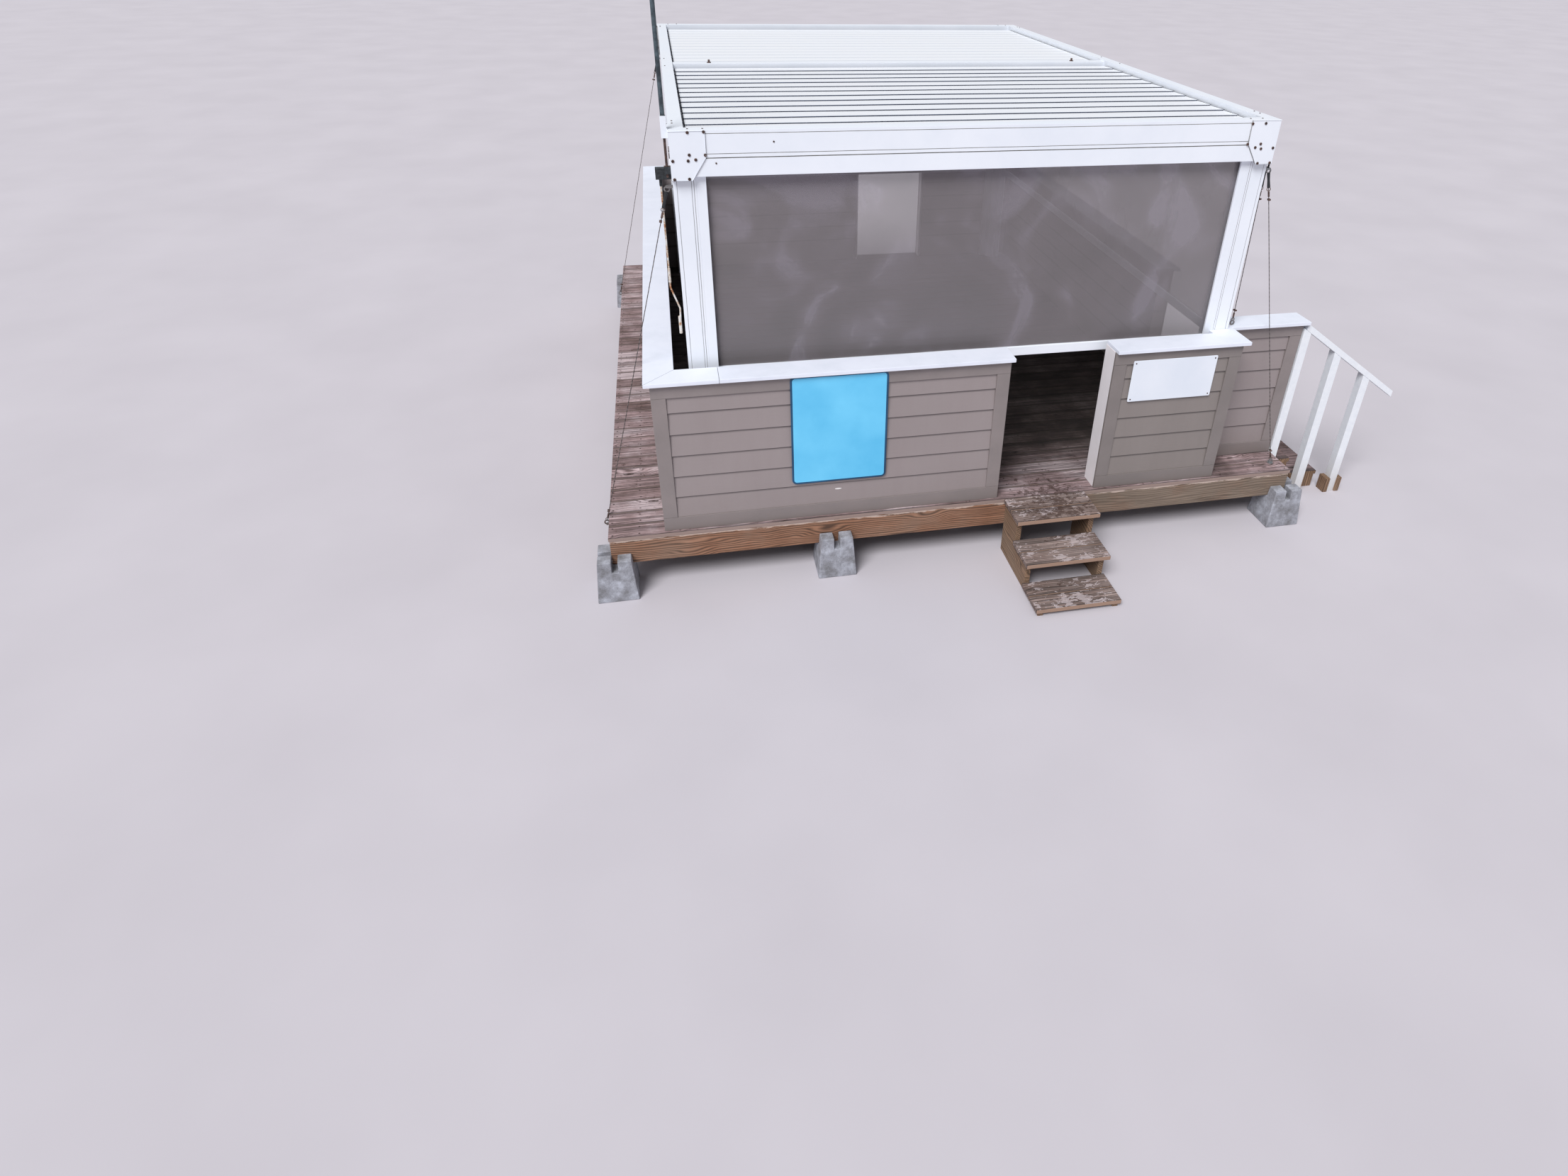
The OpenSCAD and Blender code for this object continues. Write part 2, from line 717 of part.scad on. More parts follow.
module shade_bars() {
    color(white) {
        for (m = [0, 1]) mirror([0, m, 0]) block([-end_shade_x, end_shade_x],
            [post_front + shade_plane - bar_t / 2, post_front + shade_plane + bar_t / 2], [bar_bottom, bar_top]);
        for (m = [0, 1]) mirror([m, 0, 0])
            block([-post_outer + shade_plane - bar_t / 2, -post_outer + shade_plane + bar_t / 2],
                [-side_shade_y, side_shade_y], [bar_bottom, bar_top]);
    }
}

// One louvre with a pin at each end, its front edge raised by tilt
module louvre(y, tilt) {
    color(white) translate([0, y, louvre_z]) rotate([-tilt, 0, 0]) {
        along_x(-louvre_len / 2, louvre_len) polygon(louvre_section);
        for (m = [0, 1]) mirror([m, 0, 0]) translate([louvre_len / 2, 0, 0]) rotate([0, 90, 0])
            cylinder(r = pin_r, h = louvre_end_gap + pin_seat);
    }
}

// Crank rod for the louvres, hooked to a small gear box under the left beam
crank_off = crank_reach + 20;
crank_x = -half_w - crank_off;
crank_y = -half_d + post_inset + post_w * 0.57;
gear_h = 60;
gear_w = 44;
gear_half = 25;
socket_h = 40;
sleeve_h = 85;
sleeve_up = 33;
grip_h = 110;
grip_r = 9;
crank_back = 7;
module crank_handle() {
    gear_low = beam_bottom - gear_h / 2;
    points = [[crank_x, crank_y, gear_low - socket_h / 2], [crank_x, crank_y, deck_h + crank_elbow_h],
              [crank_x + crank_reach, crank_y, deck_h + crank_knee_h],
              [crank_x + crank_reach - crank_back, crank_y, deck_h + crank_foot_h]];
    color(steel) {
        block([crank_x - gear_half, -half_w - plate_t], [crank_y - gear_w / 2, crank_y + gear_w / 2],
            [gear_low, gear_low + gear_h]);
        rod([crank_x, crank_y, gear_low - socket_h], [crank_x, crank_y, gear_low + 5], 8);
        for (i = [0:2]) rod(points[i], points[i + 1], crank_d / 2);
        for (i = [1, 2]) translate(points[i]) sphere(crank_d / 2, $fn = 16);
        translate(points[1] + [0, 0, sleeve_up]) cylinder(d = crank_d * 1.5, h = sleeve_h);
        translate(points[3] - [0, 0, 2]) cylinder(r = grip_r, h = grip_h);
    }
}

// Mast on the outside of the front left corner: a tube in a collar above the beam, whose thinner foot
// runs down through a second bracket
collar_h = 65;
spigot_d = 14;
module mast() {
    foot = beam_bottom - plate_drop + 10;
    collar_z = beam_top + 5;
    grip = mast_d / 2 + 4;
    color("#4f5d6b") translate([mast_x, mast_y, 0]) {
        translate([0, 0, collar_z]) cylinder(d = mast_d, h = deck_h + mast_top - collar_z);
        translate([0, 0, deck_h + mast_top]) cylinder(d1 = mast_d + 8, d2 = mast_d - 6, h = 18, $fn = 24);
        translate([0, 0, foot]) cylinder(d = spigot_d, h = collar_z + 10 - foot);
    }
    color(white) {
        block([mast_x - grip, mast_x + grip], [mast_y - grip, mast_y + grip], [collar_z, collar_z + collar_h]);
        block([mast_x - grip, -half_w - plate_t], [mast_y - grip, mast_y + grip], [beam_top - 45, collar_z]);
        block([mast_x - grip, -half_w - plate_t], [mast_y - grip, mast_y + grip], [foot + 20, foot + 60]);
    }
}

// Stays from the post heads to the deck and the wing wall, each with eyes at both ends
function post_eye(sx, sy) = [sx * (half_w + stay_out), sy * (half_d - post_inset - 20), stay_z];
stays = [
    [post_eye(-1, -1), [rim_left - rim_eye_out, -half_d + front_anchor_in, rim_eye_z]],
    [post_eye(-1, 1), [rim_left - rim_eye_out, half_d - rear_anchor_in, rim_eye_z]],
    [post_eye(1, 1), [rim_right + rim_eye_out, half_d - rear_anchor_in, rim_eye_z]],
    [post_eye(1, -1) + [0, eye_spread, 0], [half_w + cap_anchor_out, wing_front + cap_anchor_in, cap_z + cap_t + eye_up]],
    [post_eye(1, -1), [rim_right - deck_anchor_in, -half_d - deck_anchor_out, deck_h + eye_up]]];

module stay(a, b) {
    reach = (b - a) * eye_r / norm(b - a);
    rod(a + reach, b - reach, wire_d / 2);
    eye(a);
    eye(b);
    block(a[0] < 0 ? [a[0] - 4, -half_w] : [half_w, a[0] + 4], [a[1] - 12, a[1] + 12], [a[2] + 8, a[2] + 20]);
}

module stay_wires() {
    color(steel) {
        for (s = stays) stay(s[0], s[1]);
        for (i = [0:2]) let (p = stays[i][1])
            block(p[0] < 0 ? [p[0] - 4, rim_left] : [rim_right, p[0] + 4], [p[1] - 10, p[1] + 10],
                [p[2] - 18, p[2] - 10]);
        let (p = stays[3][1]) translate([p[0], p[1], cap_z + cap_t]) cylinder(r = 4, h = 6);
        let (p = stays[4][1]) translate([p[0], p[1], deck_h]) cylinder(r = 20, h = 6);
    }
}

deck_blocks();
rim_joists();
deck_joists();
deck_floor();
front_step_sides();
front_step_treads();
side_stair();
side_rail_posts();
side_handrail();
front_wall_left();
front_wall_right();
wing_wall();
left_wall();
right_wall();
rear_wall();
trim_boards();
front_caps();
side_caps();
door_jambs();
wall_studs();
pergola_posts();
shade_guides();
end_beams();
side_beams();
middle_beam();
corner_plates();
front_shade();
back_and_side_shades();
shade_bars();
crank_handle();
mast();
stay_wires();
for (i = [1:louvre_n])
    louvre(front_louvre_y(i), front_tilt);
for (i = [1:louvre_n])
    louvre(back_louvre_y(i), back_tilt);
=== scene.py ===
"""Beach attendants' hut: a raised timber deck with lap-sided half walls, and a white louvred pergola
with mesh shades standing on it. Metres; X runs right along the front, Y to the back, Z is up."""
import json
import math
import random

import bmesh
import bpy
from mathutils import Matrix, Vector

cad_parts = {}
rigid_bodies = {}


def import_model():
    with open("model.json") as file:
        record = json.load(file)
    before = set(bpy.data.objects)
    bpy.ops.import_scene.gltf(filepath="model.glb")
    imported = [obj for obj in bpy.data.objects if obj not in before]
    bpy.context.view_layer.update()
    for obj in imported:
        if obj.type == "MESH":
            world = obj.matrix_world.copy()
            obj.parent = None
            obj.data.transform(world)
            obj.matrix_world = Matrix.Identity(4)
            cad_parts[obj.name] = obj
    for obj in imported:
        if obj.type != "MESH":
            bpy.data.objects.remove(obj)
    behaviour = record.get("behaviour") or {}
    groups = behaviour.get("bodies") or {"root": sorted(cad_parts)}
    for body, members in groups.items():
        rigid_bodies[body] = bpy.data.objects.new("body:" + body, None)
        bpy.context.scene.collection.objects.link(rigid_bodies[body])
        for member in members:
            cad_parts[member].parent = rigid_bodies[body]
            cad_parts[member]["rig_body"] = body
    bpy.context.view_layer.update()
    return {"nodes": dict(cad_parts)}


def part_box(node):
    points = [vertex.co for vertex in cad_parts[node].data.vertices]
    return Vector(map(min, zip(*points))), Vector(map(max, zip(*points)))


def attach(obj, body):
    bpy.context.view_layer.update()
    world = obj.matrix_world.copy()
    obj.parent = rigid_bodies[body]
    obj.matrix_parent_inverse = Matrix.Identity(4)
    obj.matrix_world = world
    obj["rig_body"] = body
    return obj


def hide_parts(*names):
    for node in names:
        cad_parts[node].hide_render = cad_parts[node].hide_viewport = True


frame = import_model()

bpy.ops.object.select_all(action="DESELECT")


# Camera. It stands where the photograph was taken from: in front of the hut's left corner, about a
# metre above the beams, looking down over the front with a wide lens.
camera = bpy.data.objects.new("camera", bpy.data.cameras.new("camera"))
bpy.context.scene.collection.objects.link(camera)
camera.matrix_world = Matrix(((0.97724, 0.08677, -0.19360, -1.8450),
                              (-0.21060, 0.50708, -0.83577, -7.6400),
                              (0.02566, 0.85752, 0.51381, 3.9660),
                              (0, 0, 0, 1)))
camera.data.lens = 21.144
camera.data.sensor_width = 36
camera.data.shift_x = -0.0588
camera.data.shift_y = -0.0859
camera.data.clip_end = 600
bpy.context.scene.camera = camera


# Deck blocks. Cast concrete pier blocks with four horns, set loose on the ground under the rims and
# joists. Made in a mould, so the arrises are blunt, and the grey is mottled, pitted and stained.
def srgb(code):
    """A screen colour such as #c0ffee as linear red, green, blue and 1."""
    parts = [int(code[i:i + 2], 16) / 255 for i in (1, 3, 5)]
    return [c / 12.92 if c <= 0.04045 else ((c + 0.055) / 1.055) ** 2.4 for c in parts] + [1]


def feed(node, inputs):
    """Sets a node's inputs to values, #colours, or other nodes, which give their first output."""
    for name, value in inputs.items():
        if isinstance(value, bpy.types.Node):
            value = value.outputs[0]
        if isinstance(value, bpy.types.NodeSocket):
            node.id_data.links.new(value, node.inputs[name])
        else:
            node.inputs[name].default_value = srgb(value) if isinstance(value, str) else value


def add(material, kind, inputs=None, stops=None, **settings):
    """Adds a node with its inputs and settings; stops are a ramp's places and colours."""
    node = material.node_tree.nodes.new("ShaderNode" + kind)
    for name, value in settings.items():
        setattr(node, name, value)
    feed(node, inputs or {})
    if stops:
        ramp = node.color_ramp.elements
        while len(ramp) < len(stops):
            ramp.new(0.5)
        for element, (place, colour) in zip(ramp, stops):
            element.position = place
            element.color = srgb(colour) if isinstance(colour, str) else [colour] * 3 + [1]
    return node


def new_material(name):
    """A new material and, to draw its patterns by, the place on the piece in metres."""
    material = bpy.data.materials.new(name)
    material.use_nodes = True
    return material, add(material, "TexCoord").outputs["Object"]


def dress(material, colour, roughness, bump=None, metallic=0.0):
    """Gives the shader its colour, roughness and metallic, and a bump of a height, strength and depth."""
    shader = material.node_tree.nodes["Principled BSDF"]
    feed(shader, {"Base Color": colour, "Roughness": roughness, "Metallic": metallic})
    if bump:
        height, strength, depth = bump
        feed(shader, {"Normal": add(material, "Bump", {"Height": height, "Strength": strength,
                                                       "Distance": depth})})
    return shader


def take(piece):
    """Selects one piece alone and makes it active."""
    bpy.ops.object.select_all(action="DESELECT")
    piece.select_set(True)
    bpy.context.view_layer.objects.active = piece


def shade_flat_faces(piece):
    """Smooths the active piece by angle with its large faces kept flat, not shaded as if they were domed."""
    bpy.ops.object.shade_smooth_by_angle(angle=math.radians(34))
    flat = piece.modifiers.new("flat faces", "WEIGHTED_NORMAL")
    flat.weight = 100
    flat.keep_sharp = True
    bpy.ops.object.modifier_apply(modifier=flat.name)


def ease(piece, width, segments=2):
    """Rounds a piece's sharp edges by a bevel, applies it and smooths the shading by angle."""
    take(piece)
    bevel = piece.modifiers.new("eased edges", "BEVEL")
    bevel.width = width
    bevel.segments = segments
    bevel.limit_method = "ANGLE"
    bevel.angle_limit = math.radians(32)
    bevel.use_clamp_overlap = True
    bpy.ops.object.modifier_apply(modifier=bevel.name)
    shade_flat_faces(piece)


def finished(node, material, width=0.002, segments=2, name=None, second=None, where=None):
    """A copy of a CAD node with merged faces and eased edges, in its real finish, standing for the node.
    Faces for which where(centre, normal) holds take the second material."""
    piece = bpy.data.objects.new(name or node + "_finished", frame["nodes"][node].data.copy())
    bpy.context.scene.collection.objects.link(piece)
    take(piece)
    bpy.ops.mesh.customdata_custom_splitnormals_clear()
    bpy.ops.object.mode_set(mode="EDIT")
    bpy.ops.mesh.select_all(action="SELECT")
    bpy.ops.mesh.remove_doubles(threshold=0.00002)
    bpy.ops.mesh.dissolve_limited(angle_limit=math.radians(0.5))
    bpy.ops.object.mode_set(mode="OBJECT")
    piece.data.materials.clear()
    piece.data.materials.append(material)
    if second:
        piece.data.materials.append(second)
        for polygon in piece.data.polygons:
            polygon.material_index = int(where(polygon.center, polygon.normal))
    if width:
        ease(piece, width, segments)
    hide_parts(node)
    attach(piece, frame["nodes"][node]["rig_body"])
    return piece


# concrete from a steel mould: air pits a few millimetres across in a cloudy grey, matt all over
concrete, place = new_material("cast concrete")
mottle = add(concrete, "TexNoise", {"Vector": place, "Scale": 11, "Detail": 8, "Roughness": 0.68})
tone = add(concrete, "ValToRGB", {"Fac": mottle},
           stops=[(0.3, "#6b6a6c"), (0.5, "#92939b"), (0.68, "#b6b9c4")])
pits = add(concrete, "TexVoronoi", {"Vector": place, "Scale": 110, "Randomness": 1})
pit = add(concrete, "ValToRGB", {"Fac": pits}, stops=[(0.08, 0), (0.26, 1)])
pitted = add(concrete, "MixRGB", {"Fac": 0.35, "Color1": tone, "Color2": pit}, blend_type="MULTIPLY")
height = add(concrete, "MixRGB", {"Fac": 0.5, "Color1": mottle, "Color2": pit})
dress(concrete, pitted, 0.9, bump=(height, 0.7, 0.004))
finished("deck_blocks", concrete, 0.006, 3)


# Rim boards, joists, step sides and studs. Two-inch pressure-treated pine, sawn, nailed and left bare:
# brown and orange where it is fresh, greyer to the right, with knots and a bleached upper edge.
def stretched(material, place, steps, noise):
    """Noise drawn out into streaks; steps are its steps per metre along X, Y and Z."""
    drawn_out = add(material, "Mapping", {"Vector": place, "Scale": steps})
    return add(material, "TexNoise", {"Vector": drawn_out, "Scale": 1, **noise})


def wood_rings(material, place, along, spacing):
    """Growth rings cut by the saw, drawn a spacing apart, which run along an axis and swerve round knots.
    Returns the dark line of each ring, the fine fibre and the knots, each from 0 to 1."""
    def with_grain(across, lengthwise):
        steps = [across] * 3
        steps[along] = lengthwise
        return steps

    swell = stretched(material, place, with_grain(5.0, 0.8), {"Detail": 3, "Roughness": 0.55})
    cells = add(material, "Mapping", {"Vector": place, "Scale": with_grain(4.6, 1.9),
                                      "Location": (0.4, 0.3, 0.35)})
    knots = add(material, "TexVoronoi", {"Vector": cells, "Scale": 1})
    pull = add(material, "MapRange", {"Value": knots, "From Min": 0.03, "From Max": 0.42,
                                      "To Min": 3.2, "To Max": 0.0}, interpolation_type="SMOOTHSTEP")
    parts = add(material, "SeparateXYZ", {"Vector": place}).outputs
    over = [parts[i] for i in range(3) if i != along]
    across = add(material, "Math", {0: over[0], 1: over[1]}, operation="ADD")
    wide = add(material, "Math", {0: swell, 1: 9.0, 2: pull}, operation="MULTIPLY_ADD")
    count = add(material, "Math", {0: across, 1: 1 / spacing, 2: wide}, operation="MULTIPLY_ADD")
    ring = add(material, "Math", {0: count, 1: 0.5}, operation="PINGPONG")
    line = add(material, "ValToRGB", {"Fac": ring}, stops=[(0.02, 1), (0.16, 0.45), (0.4, 0)])
    fibre = stretched(material, place, with_grain(75.0, 2.6), {"Detail": 5, "Roughness": 0.65})
    knot = add(material, "ValToRGB", {"Fac": knots},
               stops=[(0.03, 1), (0.05, 0.5), (0.065, 0.85), (0.085, 0)])
    return line, fibre, knot


def treated_pine(name, along, tones, grey_from=None, bleached_above=None):
    """Treated pine whose grain runs along an axis, 0 for X, 1 for Y and 2 for Z; tones go dark to light."""
    material, place = new_material(name)
    # the rings of pine are 4 to 8 mm apart; they are drawn 17 mm apart so that they show
    line, fibre, knot = wood_rings(material, place, along, 0.017)
    weather = add(material, "TexNoise", {"Vector": place, "Scale": 2.7, "Detail": 5, "Roughness": 0.6})
    tone = add(material, "ValToRGB", {"Fac": weather}, stops=[(0.34, tones[1]), (0.62, tones[2])])
    ringed = add(material, "MixRGB", {"Fac": line, "Color1": tone, "Color2": tones[0]})
    streak = add(material, "ValToRGB", {"Fac": fibre}, stops=[(0.32, 0.68), (0.58, 1.0)])
    grained = add(material, "MixRGB", {"Fac": 1, "Color1": ringed, "Color2": streak}, blend_type="MULTIPLY")
    knotted = add(material, "MixRGB", {"Fac": knot, "Color1": grained, "Color2": "#3d2a20"})
    parts = add(material, "SeparateXYZ", {"Vector": place})
    worn = weather
    if grey_from is not None:
        side = add(material, "MapRange", {"Value": parts.outputs["X"], "From Min": grey_from,
                                          "From Max": grey_from + 0.3, "To Min": 0.0, "To Max": 0.5})
        worn = add(material, "Math", {0: side, 1: weather}, operation="ADD")
    grey = add(material, "ValToRGB", {"Fac": worn}, stops=[(0.5, 0.0), (1.0, 0.9)])
    silver = add(material, "MixRGB", {"Fac": 1, "Color1": "#86796c", "Color2": streak},
                 blend_type="MULTIPLY")
    aged = add(material, "MixRGB", {"Fac": grey, "Color1": knotted, "Color2": silver})
    lined = add(material, "Math", {0: line, 1: 0.5}, operation="MULTIPLY")
    colour = add(material, "MixRGB", {"Fac": lined, "Color1": aged, "Color2": "#4f3f33"})
    if grey_from is not None:
        # the sun has opened cracks along the greyed part
        crack = stretched(material, place, (3.2, 40, 62), {"Detail": 6, "Roughness": 0.7})
        deep = add(material, "ValToRGB", {"Fac": crack}, stops=[(0.54, 0), (0.62, 0.8)])
        cracked = add(material, "Math", {0: deep, 1: side}, operation="MULTIPLY")
        colour = add(material, "MixRGB", {"Fac": cracked, "Color1": colour, "Color2": "#2e221b"})
    if bleached_above is not None:
        flaky = stretched(material, place, (7, 30, 60), {"Detail": 5, "Roughness": 0.7})
        edge = add(material, "MapRange", {"Value": parts.outputs["Z"], "From Min": bleached_above - 0.045,
                                          "From Max": bleached_above, "To Min": 0.0, "To Max": 0.5})
        both = add(material, "Math", {0: edge, 1: flaky}, operation="ADD")
        flake = add(material, "ValToRGB", {"Fac": both}, stops=[(0.83, 0), (0.9, 0.85)])
        colour = add(material, "MixRGB", {"Fac": flake, "Color1": colour, "Color2": "#cdb9ae"})
    rough = add(material, "MixRGB", {"Fac": 0.5, "Color1": line, "Color2": fibre})
    dress(material, colour, 0.8, bump=(rough, 0.4, 0.002))
    return material


rim_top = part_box("rim_joists")[1].z
pine_across = treated_pine("treated pine across the front", 0, ("#5f4030", "#95694f", "#ab8067"),
                           grey_from=0.7, bleached_above=rim_top)
pine_deep = treated_pine("treated pine front to back", 1, ("#5f4030", "#8d674f", "#a37c63"))
pine_up = treated_pine("treated pine upright", 2, ("#5f4a3a", "#8b6d55", "#9f8067"))
finished("rim_joists", pine_across, 0.003)
finished("deck_joists", pine_deep, 0.002, 1)


# Deck boards. Five-quarter treated pine planed with round arrises, screwed down and left to the
# weather: grey-brown, each board its own tone, with pale flaking strips and dark stains.
def board_by_board(piece, seed):
    """Gives each board of a piece its own random tone, and each point its place across its board, 0 to 1."""
    mesh = piece.data
    leader = list(range(len(mesh.vertices)))

    def first(index):
        while leader[index] != index:
            leader[index] = leader[leader[index]]
            index = leader[index]
        return index

    for edge in mesh.edges:
        leader[first(edge.vertices[0])] = first(edge.vertices[1])
    boards = {}
    for vertex in mesh.vertices:
        boards.setdefault(first(vertex.index), []).append(vertex)
    tone = mesh.attributes.new("board_tone", "FLOAT", "POINT")
    across = mesh.attributes.new("board_across", "FLOAT", "POINT")
    chance = random.Random(seed)
    for board in sorted(boards.values(), key=lambda b: (min(v.co.y for v in b), min(v.co.x for v in b))):
        own = chance.random()
        front = min(v.co.y for v in board)
        back = max(v.co.y for v in board)
        for vertex in board:
            tone.data[vertex.index].value = own
            across.data[vertex.index].value = (vertex.co.y - front) / (back - front)


def weathered_boards(name, tones, flakes, fresh_wood, spill_at, dark_inside=False):
    """Bare boards along X, each with its own tone: rings, edges darkened by dirt and a painted gap shade,
    pale flakes and dark stains. The higher flakes is, the fewer there are."""
    material, place = new_material(name)
    parts = add(material, "SeparateXYZ", {"Vector": place})
    own = add(material, "Attribute", attribute_name="board_tone").outputs["Fac"]
    across = add(material, "Attribute", attribute_name="board_across").outputs["Fac"]
    slide = add(material, "CombineXYZ", {"X": own, "Z": own})
    shift = add(material, "VectorMath", {0: slide, 1: (7, 7, 7)}, operation="MULTIPLY")
    board_place = add(material, "VectorMath", {0: place, 1: shift}, operation="ADD")
    # the rings of pine are 4 to 8 mm apart; they are drawn 16 mm apart so that they show
    line, fibre, knot = wood_rings(material, board_place, 0, 0.016)
    cloud = add(material, "TexNoise", {"Vector": place, "Scale": 3.1, "Detail": 6, "Roughness": 0.65})
    mixed = add(material, "Math", {0: own, 1: 0.25, 2: cloud}, operation="MULTIPLY_ADD")
    tone = add(material, "ValToRGB", {"Fac": mixed},
               stops=[(0.42, tones[0]), (0.625, tones[1]), (0.81, tones[2])])
    ring = add(material, "Math", {0: line, 1: 0.75}, operation="MULTIPLY")
    ringed = add(material, "MixRGB", {"Fac": ring, "Color1": tone, "Color2": "#40322c"})
    streak = add(material, "ValToRGB", {"Fac": fibre}, stops=[(0.32, 0.66), (0.6, 1.08)])
    fibred = add(material, "MixRGB", {"Fac": 1, "Color1": ringed, "Color2": streak}, blend_type="MULTIPLY")
    # the soft wood has washed out and left pale ridges 20 to 40 mm apart
    ridge = stretched(material, board_place, (1.5, 38, 38), {"Detail": 4, "Roughness": 0.6})
    washed = add(material, "ValToRGB", {"Fac": ridge}, stops=[(0.4, 0.6), (0.5, 0.95), (0.62, 1.22)])
    grained = add(material, "MixRGB", {"Fac": 1, "Color1": fibred, "Color2": washed}, blend_type="MULTIPLY")
    knotted = add(material, "MixRGB", {"Fac": knot, "Color1": grained, "Color2": "#33241f"})
    # dirt and a painted shade of the gaps darken both arrises of each board
    dirt = add(material, "ValToRGB", {"Fac": across}, stops=[(0.0, 0.08), (0.1, 1), (0.9, 1), (1.0, 0.08)])
    edges_dirty_and_shaded = add(material, "MixRGB", {"Fac": 0.9, "Color1": knotted, "Color2": dirt}, blend_type="MULTIPLY")
    # indoors the boards are trodden and damp, and a painted shade of the dim room darkens them further:
    # darker and greener from just behind the threshold
    inside = 0.0
    if dark_inside:
        side = add(material, "Math", {0: parts.outputs["X"]}, operation="ABSOLUTE")
        within = add(material, "MapRange", {"Value": side, "From Min": 2.02, "From Max": 2.06,
                                            "To Min": 1.0, "To Max": 0.0})
        behind = add(material, "MapRange", {"Value": parts.outputs["Y"], "From Min": -2.66,
                                            "From Max": -1.95, "To Min": 0.0, "To Max": 1.0})
        inside = add(material, "Math", {0: within, 1: behind}, operation="MULTIPLY")
    # the old water seal comes off in curled flakes 10 to 60 mm long, in patches, where the boards are dry
    flaky = stretched(material, board_place, (19, 44, 44),
                      {"Detail": 4, "Roughness": 0.58, "Distortion": 0.9})
    patch = add(material, "TexNoise", {"Vector": board_place, "Scale": 5.5, "Detail": 2})
    loose = add(material, "Math", {0: patch, 1: 0.75, 2: flaky}, operation="MULTIPLY_ADD")
    # most flakes show as a curled pale rim round a greyer middle
    flake = add(material, "ValToRGB", {"Fac": loose},
                stops=[(flakes, 0), (flakes + 0.01, 0.95), (flakes + 0.03, 0.8), (flakes + 0.045, 0.2),
                       (flakes + 0.1, 0.45)])
    dry = add(material, "Math", {0: 1.0, 1: inside}, operation="SUBTRACT")
    up = add(material, "SeparateXYZ", {"Vector": add(material, "TexCoord").outputs["Normal"]})
    on_top = add(material, "Math", {0: up.outputs["Z"], 1: 0.6}, operation="GREATER_THAN")
    dry_top = add(material, "Math", {0: dry, 1: on_top}, operation="MULTIPLY")
    flake_top = add(material, "Math", {0: flake, 1: dry_top}, operation="MULTIPLY")
    paled = add(material, "MixRGB", {"Fac": flake_top, "Color1": edges_dirty_and_shaded, "Color2": "#d3c6c9"})
    # spots of old spills, most of them round one place
    spill = add(material, "TexNoise", {"Vector": place, "Scale": 22, "Detail": 8, "Roughness": 0.74,
                                       "Distortion": 0.5})
    away = add(material, "VectorMath", {0: place, 1: spill_at}, operation="DISTANCE").outputs["Value"]
    near = add(material, "MapRange", {"Value": away, "From Min": 0.06, "From Max": 0.34,
                                      "To Min": 0.15, "To Max": 0.0})
    wet = add(material, "Math", {0: spill, 1: near}, operation="ADD")
    spot = add(material, "ValToRGB", {"Fac": wet}, stops=[(0.6, 0), (0.64, 0.7)])
    stained = add(material, "MixRGB", {"Fac": spot, "Color1": paled, "Color2": "#3b241a"})
    # worn front edges show fresh pinkish wood
    fresh = add(material, "MapRange", {"Value": up.outputs["Y"], "From Min": -0.25, "From Max": -0.6,
                                       "To Min": 0.0, "To Max": 0.75})
    fronted = add(material, "MixRGB", {"Fac": fresh, "Color1": stained, "Color2": fresh_wood})
    # these damp tones also paint in the shade of the dim room
    damp_and_indoor_shade = add(material, "ValToRGB", {"Fac": cloud}, stops=[(0.3, "#56544f"), (0.7, "#7c7a74")])
    colour = add(material, "MixRGB", {"Fac": inside, "Color1": fronted, "Color2": damp_and_indoor_shade},
                 blend_type="MULTIPLY")
    relief = add(material, "MixRGB", {"Fac": 0.5, "Color1": fibre, "Color2": flake})
    dress(material, colour, 0.86, bump=(relief, 0.55, 0.003))
    return material


deck_wood = weathered_boards("weathered deck boards", ("#7a6462", "#aa9294", "#d6c4c8"), 1.0, "#a8928a",
                             spill_at=(0.56, -2.66, 0.43), dark_inside=True)
board_by_board(finished("deck_floor", deck_wood, 0.004), 11)


def mottled(name, noise, tones, roughness, relief, metallic=0.0):
    """A finish whose tones, a ramp's stops, and relief, a strength and a depth, follow one noise."""
    material, place = new_material(name)
    cloud = add(material, "TexNoise", {"Vector": place, **noise})
    tone = add(material, "ValToRGB", {"Fac": cloud}, stops=tones)
    dress(material, tone, roughness, (cloud, *relief), metallic)
    return material


def join_copies(model, places, name, material):
    """Copies a small modelled part to each place, joins the copies to one piece and drops the model."""
    mesh = bmesh.new()
    for place in places:
        copy = model.data.copy()
        copy.transform(place)
        mesh.from_mesh(copy)
        bpy.data.meshes.remove(copy)
    data = bpy.data.meshes.new(name)
    mesh.to_mesh(data)
    mesh.free()
    piece = bpy.data.objects.new(name, data)
    bpy.context.scene.collection.objects.link(piece)
    piece.data.materials.append(material)
    bpy.data.objects.remove(model)
    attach(piece, "hut")


def pick(piece, kind, test):
    """In edit mode, selects just the faces or edges of a piece for which the test holds."""
    bpy.ops.mesh.select_mode(type="FACE" if kind == "faces" else "EDGE")
    bpy.ops.mesh.select_all(action="DESELECT")
    form = bmesh.from_edit_mesh(piece.data)
    for part in getattr(form, kind):
        if test(part):
            part.select_set(True)
    bmesh.update_edit_mesh(piece.data)


